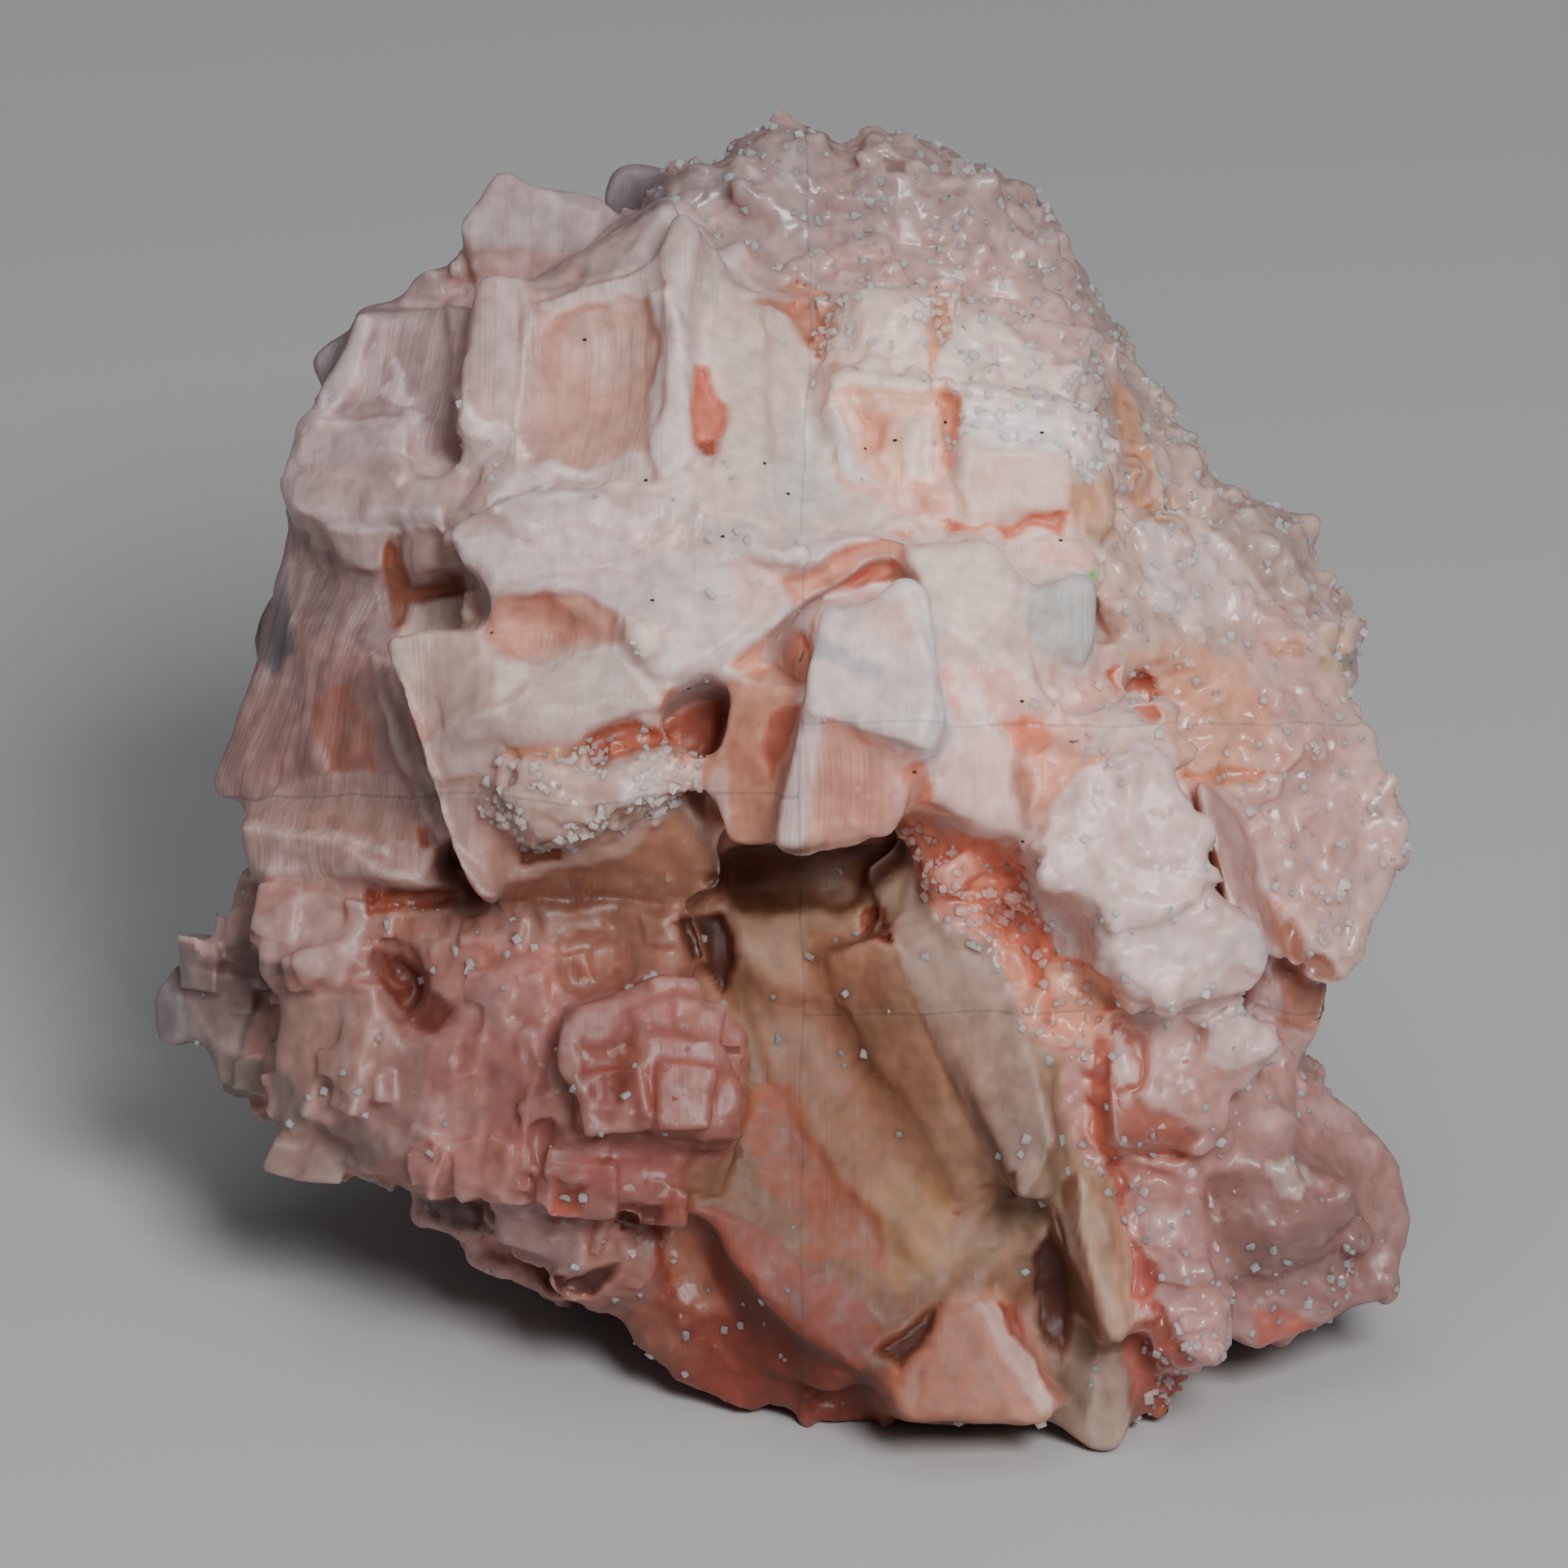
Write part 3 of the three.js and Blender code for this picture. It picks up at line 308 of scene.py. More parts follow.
cubes = dict(
    knob=block((-36.4, -12, 6), size=(8.4, 7, 12), turn=(4, -20, -10), seed=41),
    knobLower=block((-34.6, -13.8, 8), size=(5, 4, 8), turn=(4, -20, 16), seed=42),
    neck=block((-40, -10, -2), size=(6, 6, 10), turn=(0, -20, -20), seed=43),
    tip=plate((-49.2, -17, -47, -14.3, -43.5, -11.5, -39.8, -14, -39.2, -17.8, -41.6, -20.3, -45.4, -19.9,
        -48.5, -20.4, -49.3, -19.3), out=-5, deep=12, lean=(0, -16)),
    tipFoot=block((-41.4, -20.4, -4), size=(5.6, 5.4, 8), turn=(0, -10, 10), seed=44),
    broadCube=face((-38.6, -16.4, 4, -30.4, -17.2, 11, -31.4, -27.6, 10, -40, -25.4, 2), 14),
    broadCubeFoot=block((-35, -27.4, 4), size=(8, 5, 9), turn=(10, -12, -14), seed=45),
    leaningCube=face((-30.8, -18.4, 10, -25.4, -19.4, 14, -27.4, -30.4, 12, -33, -29, 7), 12),
    leaningPlate=face((-27.4, -14.6, 12, -21, -14.2, 15.5, -20.4, -31.4, 15, -27.2, -30.6, 11), 12),
    leaningPlateRight=face((-22, -13, 15, -17, -13.4, 16.5, -16, -30, 15.5, -21, -33, 13), 12),
    roof=face((-31.6, -9.4, 7, -18.6, -10, 13, -17.6, -14, 15, -26.4, -14.6, 12), 9),
    brownCube=block((-12.8, -11.6, 14.5), size=(10, 6.4, 10), turn=(-14, -4, 4), seed=46),
    bigCube=plate((-17, -16.8, -13, -15.6, -9.2, -14, -5.4, -17.2, -2.6, -23.4, -4.8, -26.9, -8.6, -26,
        -14.8, -24.2, -17.4, -21), out=20.5, deep=14, lean=(-4, 4)),
    bigCubeFoot=block((-12.4, -28.4, 16.5), size=(9.4, 8, 12), turn=(8, -4, -8), seed=47),
    footKnob=block((-17.4, -33.4, 10.5), size=(9, 6, 12), turn=(10, -10, -16), seed=48),
    footKnobLeft=block((-25.6, -32.6, 3), size=(6, 4.4, 10), turn=(0, -16, -14), seed=49),
    heelCube=block((-20, -37, 2), size=(8, 4, 12), turn=(8, -10, -16), seed=50),
)

# ---- middle: the capped block with its striated front

keystone = dict(
    cap=plate((2.4, 14.3, 5.9, 14.4, 9, 16.6, 10.9, 15.4, 11.5, 10.4, 12.4, 5.4, 11.2, 1.3, 7.1, 3.2,
        4.6, 4.8, 1.2, 5.4), out=31, deep=10, lean=(-24, -8), ragged=0.15, seed=51),
    striatedFront=plate((1.2, 5.8, 4.6, 5.1, 7.8, 3.6, 10.8, 1.6, 9.3, -2.1, 8.9, -3.5, 5.3, -4.5, 2.1, -5.1,
        -1, -4.9, 0, -0.9), out=30, deep=18, lean=(8, -8), ragged=0.2, seed=52),
    amberSide=plate((-3.8, 7.4, -1.6, 7.6, 1.2, 6.8, 2.4, 4.1, 0.6, 0.4, -0.6, -4.9, -4.8, -4.8, -6, -1.6,
        -5.7, 2.3), out=24.5, deep=14, lean=(4, -24), ragged=0.2, seed=53),
    sliver=plate((8.2, 2.4, 11, 1, 11.4, -2.1, 9.6, -2.9), out=26, deep=8, lean=(0, -10)),
    sideScale=plate((10.6, 4.1, 13.4, 5.4, 17.1, 4.1, 19, -1.2, 18.1, -3.4, 14, -3.1, 11.2, -1.2), out=26.5,
        deep=9, lean=(-8, 10)),
    throat=face((-6, 13, 15, 8, 18, 18, 9, 0, 18, -6, -3, 14), 10),
)

# ---- upper right: white blocks, columns and the slit below them

whiteBlocks = dict(
    topLeft=block((8.2, 34, 10.5), size=(10.4, 8, 14), turn=(-24, 6, -4), seed=61),
    topLeftKnob=block((7.6, 36, 11), size=(5, 4, 8), turn=(-24, 10, 12), seed=62),
    topRight=block((18.2, 32, 9), size=(9.6, 8.4, 14), turn=(-24, 16, -8), seed=63),
    lintel=block((9, 29.6, 15), size=(12, 3.2, 10), turn=(-16, 8, -6), seed=64),
    columnLeft=block((5.2, 26, 15.5), size=(2.6, 8, 8), turn=(0, 4, 8), seed=65),
    columnMiddle=block((8.8, 24.8, 16.6), size=(2.4, 7.6, 8), turn=(0, 6, 2), seed=66),
    columnRight=block((11.8, 24.8, 16.8), size=(2.2, 8, 8), turn=(0, 6, -4), seed=67),
    chamber=block((8, 26, 12.5), size=(12, 12, 8), turn=(-6, 6, 0), seed=68),
    crustedSlab=block((18.6, 27.4, 15.2), size=(11.4, 5.6, 12), turn=(-24, 14, -5), seed=69),
    clearBlock=block((17.6, 22.8, 17.4), size=(8.8, 5.8, 12), turn=(-4, 10, -4), worn=0.05, seed=70),
    tanBlock=block((23, 22, 13.6), size=(5, 4.6, 10), turn=(-4, 22, -4), seed=71),
    sill=block((15.6, 17.6, 18), size=(17, 2.6, 10), turn=(-14, 8, -3), seed=72),
    paleFacet=plate((9.3, 17.2, 10.9, 18.8, 15.6, 19.8, 17.1, 17.9, 17.8, 14.1, 16.5, 10.4, 12.1, 10.4,
        11.5, 12.9), out=23, deep=9, lean=(-20, 6)),
    greyFacet=plate((17.8, 14.4, 22.8, 16.9, 24.1, 15.4, 24.5, 10.4, 23.4, 8.8, 20.3, 11), out=21, deep=9,
        lean=(-12, 20)),
    belly=face((12, 11, 23, 25, 10, 18, 27, 2, 17, 12, 2, 24), 14, bulge=1.2, cells=2),
    bellyKnob=block((17.4, 7, 25), size=(5, 4.6, 8), turn=(-12, 8, 20), seed=74),
)

# ---- top and right: the granular shell

shell = dict(
    crownFace=face((-7, 46, -5, 17, 44, -6, 25, 30, 5, -4, 35, 8), 14, bulge=2.4, cells=2),
    crownKnob=lump((-0.4, 43.8, -9), radii=(5.8, 7.4, 8), seed=81),
    crownKnobLeft=lump((-6, 42.2, -9), radii=(5.2, 6.2, 7), seed=82),
    crownKnobMiddle=lump((8.6, 43.4, -9), radii=(5.6, 7.2, 8), seed=83),
    crownKnobRight=lump((13.6, 42.2, -9), radii=(5.4, 6.8, 8), seed=84),
    brow=lump((17, 39.6, -9), radii=(5.4, 6.2, 8), detail=0, seed=85),
    slope=face((15, 43.4, -6, 24, 38, -10, 34.6, 21.8, -8, 23, 24, 9), 12, bulge=1, cells=2),
    slopeEdge=face((20, 41.4, -10, 25.4, 36.2, -12, 35, 21, -10, 30, 20, -2), 9),
    cheek=lump((36, 17.4, -9), radii=(5.8, 5.4, 9), seed=86),
    cheekLow=lump((40.4, 11.6, -9), radii=(4.8, 5.2, 8), seed=87),
    shoulder=face((24, 21, 11, 36, 19, -2, 42, 8, -4, 26, 9, 14), 14, bulge=1.2, cells=2),
    lobe=plate((25.4, 7.9, 27.6, 12, 33, 15, 38, 14.6, 42.4, 12.4, 44.6, 8.5, 45, 5.6, 46.8, 5.1, 46.6, 2.3,
        48.2, 0.4, 49.2, -4.6, 47.8, -7.8, 45.9, -11.5, 43.1, -14.6, 42, -14.4, 39.6, -11.5, 37.1, -9,
        34.6, -5.9, 32.1, -1.5, 29.6, 1, 27.8, 4.1), out=4.5, deep=14, lean=(-10, 24), ragged=0.3, every=3.4,
        seed=88),
    lobeSwell=face((27, 12.6, 8, 42, 11.6, -2, 46.6, -6.6, -4, 33.4, -3.4, 7), 12, bulge=3, cells=3),
)

# ---- right: rounded scales over the amber cleft

scales = dict(
    upper=plate((19, -4.6, 20.3, -1.2, 23.4, 2.3, 26.2, 3.8, 27.1, 2.6, 30.3, 0.4, 32.1, -2.8, 31.8, -7.1,
        29.6, -9.6, 24.6, -10.3, 20.9, -8.4), out=26.5, deep=10, lean=(-12, 10), ragged=0.3, every=2.6,
        seed=91),
    lower=plate((22.8, -10.3, 27.1, -8.4, 32.1, -7.1, 33.4, -9, 36.2, -10.3, 37.1, -13.4, 35.9, -15.9,
        32.1, -17.1, 29, -17.8, 25.3, -15.9, 23.4, -13.4), out=24.5, deep=10, lean=(-2, 16), ragged=0.3,
        every=2.6, seed=92),
    small=plate((31.5, -17.8, 34.6, -16.8, 38.1, -17.8, 38.2, -20.3, 36.5, -21.8, 33.4, -21.2), out=18.5,
        deep=8, lean=(-4, 18), ragged=0.3, seed=93),
    upperKnob=block((27, 3.8, 23.6), size=(6.4, 5, 9), turn=(-14, 12, 14), worn=0.14, seed=94),
    rib=face((31, 1, 14, 34.6, -2, 10, 38.4, -14, 7, 34, -12, 15), 12),
    backWeb=plate((35, -7, 39.6, -11.5, 43, -14.8, 42.2, -19, 40, -22, 37, -20, 35, -12), out=0, deep=12,
        lean=(0, 18)),
    amberCleft=face((9.6, -2.4, 18, 19, -4, 20, 25, -18, 18, 15.4, -17, 16), 14, bulge=-0.8, cells=2),
    amberBlock=block((22, -17, 19), size=(6.4, 5, 8), turn=(6, 6, -24), seed=97),
    amberKnob=lump((13.4, -6.4, 19), radii=(2.6, 1.8, 2.4), detail=0, seed=98),
    skirt=face((22, -18, 18, 38.6, -19, 9, 41, -31, 7, 23, -32, 14), 18, bulge=2, cells=2),
    skirtKnob=block((29.6, -23.4, 19), size=(8, 6, 9), turn=(-12, 10, 10), worn=0.14, seed=99),
    skirtKnobLow=block((35.4, -26.4, 14.6), size=(7.4, 6.6, 9), turn=(-10, 22, -14), worn=0.14, seed=100),
)

# ---- lower middle: the great clay-coloured crystal

clayCrystal = dict(
    leftFace=plate((-4.8, -5.9, 5.9, -4.6, 8.4, -11.5, 12.1, -12.8, 16.5, -17.8, 20.2, -25.3, 20.2, -31.8,
        14.6, -38.4, 9.6, -42.1, 6.5, -45.2, 0.9, -42.1, -4.1, -37.1, -7.3, -30.3, -2.3, -25.9, -2.9, -20.9,
        -6, -13.4, -7.6, -9.6), out=12.5, deep=20, lean=(-14, 2)),
    rightPlate=plate((5.9, -4.8, 9, -3.2, 10.3, -5.9, 14.6, -13.4, 20.3, -22.8, 21, -27.1, 20.3, -32.2,
        17.2, -31.6, 11.5, -17.8, 8.4, -11.5), out=17.5, deep=8, lean=(-14, -14)),
    redFoot=face((-11, -29.6, 9, 0, -30, 14, 5, -46, 15, -8, -43.6, 4), 16, bulge=1, cells=2),
    redKnob=block((-4.2, -44.6, 7), size=(7, 4.6, 10), turn=(8, -6, -20), seed=111),
    footCrust=plate((-1.4, -45.6, 1.5, -45, 7.8, -45.2, 9, -48, 4.6, -48.9, 2.1, -48.7), out=8, deep=12,
        lean=(8, 0)),
)

# ---- bottom right: plates that stand on edge, and the fan

standingPlates = dict(
    layeredPlate=plate((9, -42.8, 14, -37.8, 16.2, -39, 19, -42.8, 20.7, -46.8, 19.9, -48.3, 14.6, -48.5,
        10.3, -48.1, 8.1, -47.1, 8.4, -45.3), out=16.5, deep=9, lean=(-10, 12)),
    tallPlate=plate((20.6, -29, 22.8, -29.6, 24.8, -32.1, 25.6, -39.6, 25.8, -42.1, 23.9, -42.4, 22.1, -37.1,
        20.3, -33.4), out=18, deep=11, lean=(0, 10)),
    spike=plate((20.4, -38.6, 24.6, -39, 26.5, -45.9, 26.2, -48.7, 25.3, -51.2, 23.7, -51.4, 21.5, -49.3,
        19.9, -48.1), out=12.5, deep=22, lean=(4, 10), taper=1),
    redBack=plate((25.3, -42.1, 30.3, -42.1, 30.3, -44.6, 29.5, -46.8, 26.8, -49, 26.2, -45.9), out=9,
        deep=14, taper=1),
    crustPlate=plate((25.9, -31.5, 28.4, -30.6, 31.5, -31.5, 32.1, -35.3, 33.7, -37.8, 33.9, -42.1,
        32.1, -44.6, 29.6, -45.3, 28.4, -42.1, 26.2, -38.4), out=15.5, deep=10, lean=(-2, 8), ragged=0.35,
        every=2.4, seed=121),
    fan=plate((32.1, -27.1, 35.9, -24.6, 39.6, -22.1, 43.4, -24, 46.2, -26.2, 48.2, -29, 48.8, -32.8,
        48, -37.1, 47.8, -39, 42.8, -40.3, 39.6, -42.1, 35.9, -43.4, 34, -40.9, 32.8, -36.5), out=6, deep=14,
        lean=(-8, 18), ragged=0.25, every=3.6, seed=122),
)


# ---- crystals that only the looks need ----------------------------------------------------------

extras = dict(
    clayTop=plate((-7, -1, 10, -1, 13, -10, 10, -16, 0, -16, -7.6, -12), out=10.5, deep=12, lean=(-14, 2)),
)
extras["clayRamp"] = plate((1.5, -13, 8, -10.5, 10.5, -13, 17.5, -29, 13, -31, 6, -22), out=15.8, deep=8,
    lean=(12, -28))
for k in range(9):
    extras["tooth%d" % k] = block(
        (0.2 + 1.02 * k, -4.9 + 0.13 * k + 0.1 * (k % 3), 29.6), size=(0.9, 0.7 + 0.35 * (k * 7 % 4), 2.4),
        turn=(8, -8, 4 * (k % 5) - 8), seed=700 + k,
    )
extras["heelFill"] = lump((-12.6, -36.3, 6.5), (5.2, 4.0, 5.5), seed=720)
extras["footFill"] = lump((-7.6, -40.6, 4.5), (4.4, 4.4, 5), seed=721)
extras["scaleFill"] = lump((20.0, 0.6, 23), (2.6, 2.8, 3.6), seed=722)
extras["fanFill"] = lump((36.0, -32.2, 7), (8.0, 6.0, 7.6), seed=724)
extras["gapFill"] = lump((17.6, -35.6, 9), (4.2, 3.8, 5.5), seed=723)

# ---- patterns of chance -------------------------------------------------------------------------


def scramble(x, y, z, salt):
    """Whole numbers from 0 to 2**32 - 1 that depend only on the cell (x, y, z) and the salt."""
    with np.errstate(over="ignore"):
        h = x.astype(np.uint32) * np.uint32(73856093)
        h ^= y.astype(np.uint32) * np.uint32(19349663)
        h ^= z.astype(np.uint32) * np.uint32(83492791)
        h ^= np.uint32(salt * 2654435761 % 4294967296)
        h ^= h >> np.uint32(15)
        h *= np.uint32(2246822519)
        h ^= h >> np.uint32(13)
        h *= np.uint32(3266489917)
        h ^= h >> np.uint32(16)
    return h


def chance_at(cells, salt):
    """A number from -1 to 1 for each row of whole-number cells."""
    return scramble(cells[:, 0], cells[:, 1], cells[:, 2], salt).astype(np.float64) / 2147483648.0 - 1.0


def waves(points, size, salt, sharp=1.0):
    """Smooth noise from -1 to 1. sharp above 1 makes plateaus with steps between them."""
    scaled = points / size
    base = np.floor(scaled)
    part = scaled - base
    if sharp > 1:
        part = np.clip((part - 0.5) * sharp + 0.5, 0, 1)
    part = part * part * (3 - 2 * part)
    base = base.astype(np.int64)
    total = np.zeros(len(points))
    for dx in (0, 1):
        for dy in (0, 1):
            for dz in (0, 1):
                weight = (
                    (part[:, 0] if dx else 1 - part[:, 0])
                    * (part[:, 1] if dy else 1 - part[:, 1])
                    * (part[:, 2] if dz else 1 - part[:, 2])
                )
                total += weight * chance_at(base + (dx, dy, dz), salt)
    return total


def waves_in_octaves(points, size, salt, octaves=3):
    """Noise from about -1 to 1 with finer and finer detail."""
    total = np.zeros(len(points))
    for k in range(octaves):
        total += waves(points, size / 2 ** k, salt + 17 * k) / 2 ** k
    return total / 1.6


def grains(points, size, salt):
    """(bump, tone) of packed round grains: bump is 1 in the middle of a grain and 0 between grains."""
    scaled = points / size
    base = np.floor(scaled).astype(np.int64)
    nearest = np.full(len(points), 9.0)
    second = np.full(len(points), 9.0)
    tone = np.zeros(len(points))
    for dx in (-1, 0, 1):
        for dy in (-1, 0, 1):
            for dz in (-1, 0, 1):
                cell = base + (dx, dy, dz)
                seeds = np.stack([chance_at(cell, salt + k) for k in range(3)], axis=1)
                away = scaled - (cell + 0.5 + 0.42 * seeds)
                distance = np.sqrt((away * away).sum(axis=1))
                closer = distance < nearest
                second = np.where(closer, nearest, np.minimum(second, distance))
                tone = np.where(closer, chance_at(cell, salt + 5), tone)
                nearest = np.where(closer, distance, nearest)
    return np.clip((second - nearest) * 1.6, 0, 1) ** 0.6, tone


# ---- growing the crystals of a group into one surface -------------------------------------------


def joined(shapes):
    """Shapes as one list of points and one of faces, and the shape that each face is from."""
    first = np.cumsum([0] + [len(shape["points"]) for shape in shapes[:-1]])
    points = np.vstack([shape["points"] for shape in shapes])
    faces = np.vstack([shape["faces"] + start for shape, start in zip(shapes, first)])
    owners = np.repeat(np.arange(len(shapes)), [len(shape["faces"]) for shape in shapes])
    return points, faces, owners


def changed_by(step_kind, points, faces, settings):
    """What one modifier makes of a shape, as a mesh that the caller removes."""
    mesh = mesh_from("shape", points, faces)
    shape = bpy.data.objects.new("shape", mesh)
    bpy.context.collection.objects.link(shape)
    step = shape.modifiers.new("step", step_kind)
    for key, value in settings.items():
        setattr(step, key, value)
    ready = shape.evaluated_get(bpy.context.evaluated_depsgraph_get())
    result = bpy.data.meshes.new_from_object(ready)
    bpy.data.objects.remove(shape)
    bpy.data.meshes.remove(mesh)
    return result


def skin_of(points, faces, cell):
    """One closed skin around overlapping closed shapes, as (points, four-cornered faces)."""
    settings = {"mode": "VOXEL", "voxel_size": cell, "adaptivity": 0}
    skin = changed_by("REMESH", points, faces, settings)
    placed = places_of(skin)
    corners = np.empty(len(skin.loops), dtype=np.int32)
    skin.loops.foreach_get("vertex_index", corners)
    bpy.data.meshes.remove(skin)
    return placed, corners.reshape(-1, 4).astype(np.int64)


def kept_inside(points, faces, low, high):
    """What lies of a closed shape in the box from the corner low to the corner high."""
    box_points, box_faces = grid_box(1)
    box_mesh = mesh_from("box", low + (box_points + 0.5) * (high - low), box_faces)
    box = bpy.data.objects.new("box", box_mesh)
    bpy.context.collection.objects.link(box)
    settings = {"operation": "INTERSECT", "object": box, "solver": "MANIFOLD"}
    result = changed_by("BOOLEAN", points, faces, settings)
    kept = {"points": places_of(result), "faces": corner_rows(result)}
    bpy.data.objects.remove(box)
    for mesh in (result, box_mesh):
        bpy.data.meshes.remove(mesh)
    return kept


def nearest_faces(points, tree):
    """(index, distance) of the tree's face nearest to each point."""
    find = tree.find_nearest
    found = [find(p)[2:4] for p in points.tolist()]
    return np.array([f[0] for f in found]), np.array([f[1] for f in found])


def normals_of(points, faces):
    """The outward direction at each point."""
    across = points[faces[:, 2]] - points[faces[:, 0]]
    other = points[faces[:, 3]] - points[faces[:, 1]]
    flat = np.cross(across, other)
    total = np.zeros_like(points)
    for k in range(3):
        for c in range(4):
            total[:, k] += np.bincount(faces[:, c], flat[:, k], len(points))
    return total / np.maximum(np.linalg.norm(total, axis=1, keepdims=True), 1e-12)


class Web:
    """The links between neighbouring points of a skin, to even out values over it."""

    def __init__(self, faces, count):
        sides = np.vstack([faces[:, (k, (k + 1) % 4)] for k in range(4)])
        self.start, self.end, self.count = sides[:, 0], sides[:, 1], count
        self.links = np.maximum(np.bincount(self.start, minlength=count), 1)

    def evened(self, values, rounds, share=0.5):
        """values moved towards their neighbours' mean by share, that many rounds over."""
        values = np.array(values, dtype=np.float64)
        flat = values.reshape(self.count, -1)
        for _ in range(rounds):
            for k in range(flat.shape[1]):
                mean = np.bincount(self.start, flat[self.end, k], self.count) / self.links
                flat[:, k] += share * (mean - flat[:, k])
        return flat.reshape(values.shape)


# ---- the relief of each kind of salt ------------------------------------------------------------

# many: small crystals for each square centimetre. width, tall and proud: their sizes and how far they
# stand out, as (least, most). loose: how far they turn from the big crystal's own directions, in
# degrees. round: the share of them that are rounded grains.
# steps and step_size: low terraces along the crystal's own directions. grain and grain_size: packed
# round grains. lines: fine growth lines that run up the crystal. soften: rounds of smoothing.
# white and amber: how milky and how amber its clouds are. sparkle: how much it glints. sugar: how many
# small grains lie on it.
FINISH_PARTS = (
    "many", "width", "tall", "proud", "loose", "round", "steps", "step_size", "grain", "grain_size",
    "lines", "soften", "white", "amber", "sparkle", "sugar",
)
FINISHES = {
    "waxy": (0, (1.4, 5.0), (1.4, 5.0), (0.1, 0.4), 8, 0.1, 0.14, 3.2, 0.02, 1.6, 0.03, 2, 0.3, 0.22, 0.3,
        0.02),
    "cubic": (6.0, (2.2, 6.0), (2.2, 6.0), (0.15, 0.9), 14, 0, 0.16, 2.6, 0.02, 1.6, 0.01, 1, 0.34, 0.22,
        0.35, 0.05),
    "lined": (0, (0.5, 1.8), (3.0, 9.0), (0.08, 0.28), 3, 0, 0.08, 2.4, 0.03, 1.4, 0.13, 1, 0.25, 0.25,
        0.25, 0.0),
    "stepped": (7.0, (0.8, 3.0), (0.8, 3.0), (0.05, 0.35), 20, 0.3, 0.2, 1.9, 0.05, 1.0, 0.03, 1, 0.45,
        0.3, 0.5, 0.12),
    "crumbly": (30.0, (0.5, 1.7), (0.5, 1.7), (0.05, 0.4), 45, 0.5, 0.16, 1.3, 0.1, 1.2, 0.0, 1, 0.5, 0.4,
        0.7, 0.6),
    "sugary": (16.0, (1.0, 3.4), (1.0, 3.0), (0.2, 0.8), 50, 0.55, 0.16, 2.2, 0.05, 1.5, 0.0, 3, 0.5, 0.4,
        0.8, 0.3),
    "beaded": (8.0, (1.2, 3.6), (1.2, 3.2), (0.05, 0.4), 50, 0.85, 0.1, 2.8, 0.12, 1.5, 0.0, 3, 0.35, 0.3,
        0.6, 0.15),
    "clay": (0, (1.0, 5.0), (2.0, 7.0), (0.05, 0.2), 6, 0, 0.07, 2.6, 0.07, 1.0, 0.01, 1, 0.2, 0.35, 0.04,
        0.05),
}
FINISHES = {name: dict(zip(FINISH_PARTS, values)) for name, values in FINISHES.items()}


def warped(points):
    """points moved a little with where they are, so that no edge stays dead straight."""
    moved = points.copy()
    for k in range(3):
        moved[:, k] += 0.6 * waves(points, 8.0, 11 + k) + 0.3 * waves(points, 3.1, 31 + k)
    return moved


def small_crystals(places, outward, owners, axes, numbers, seed):
    """Small blocks and grains that grow from the places: (points, faces, each point's shape)."""
    chance = np.random.default_rng(seed)
    count = len(places)
    low = {key: numbers[key][owners, 0] for key in ("width", "tall", "proud")}
    high = {key: numbers[key][owners, 1] for key in ("width", "tall", "proud")}
    size = {key: low[key] + (high[key] - low[key]) * chance.random(count) ** 1.8 for key in low}
    loose = np.radians(numbers["loose"][owners])
    turns = chance.normal(0, 0.5, (count, 3)) * loose[:, None]
    frames = np.stack([np.array(Euler(t).to_matrix()) for t in turns])
    frames = np.einsum("nij,njk->nik", axes[owners], frames)
    # The crystal's own direction that is nearest to outward becomes the block's depth.
    facing = np.einsum("nij,ni->nj", frames, outward)
    depth_axis = np.abs(facing).argmax(axis=1)
    rows = np.arange(count)
    depth_way = frames[rows, :, depth_axis] * np.sign(facing[rows, depth_axis])[:, None]
    up_axis = np.where(depth_axis == 1, 0, 1)
    up_way = frames[rows, :, up_axis]
    side_way = np.cross(up_way, depth_way)
    depth = np.maximum(size["width"], size["tall"]) * 0.8 + size["proud"]
    middle = places + depth_way * (size["proud"] - depth / 2)[:, None]
    is_round = chance.random(count) < numbers["round"][owners]
    cube, cube_faces = grid_box(1)
    ball = lump((0, 0, 0), (0.62, 0.62, 0.62), rough=0.06)
    points, faces, shapes = [], [], []
    first = 0
    kinds = ((cube, cube_faces, ~is_round), (ball["points"], ball["faces"], is_round))
    for form, form_faces, chosen in kinds:
        picked = np.nonzero(chosen)[0]
        shape = form[None] * chance.uniform(0.86, 1.14, (len(picked), len(form), 3))
        placed = (
            middle[picked][:, None]
            + shape[..., 0:1] * (side_way * size["width"][:, None])[picked][:, None]
            + shape[..., 1:2] * (up_way * size["tall"][:, None])[picked][:, None]
            + shape[..., 2:3] * (depth_way * depth[:, None])[picked][:, None]
        )
        points.append(placed.reshape(-1, 3))
        shapes.append(np.repeat(picked, len(form)))
        starts = first + len(form) * np.arange(len(picked))
        faces.append((form_faces[None] + starts[:, None, None]).reshape(-1, 3))
        first += len(form) * len(picked)
    return np.vstack(points), np.vstack(faces), np.concatenate(shapes)


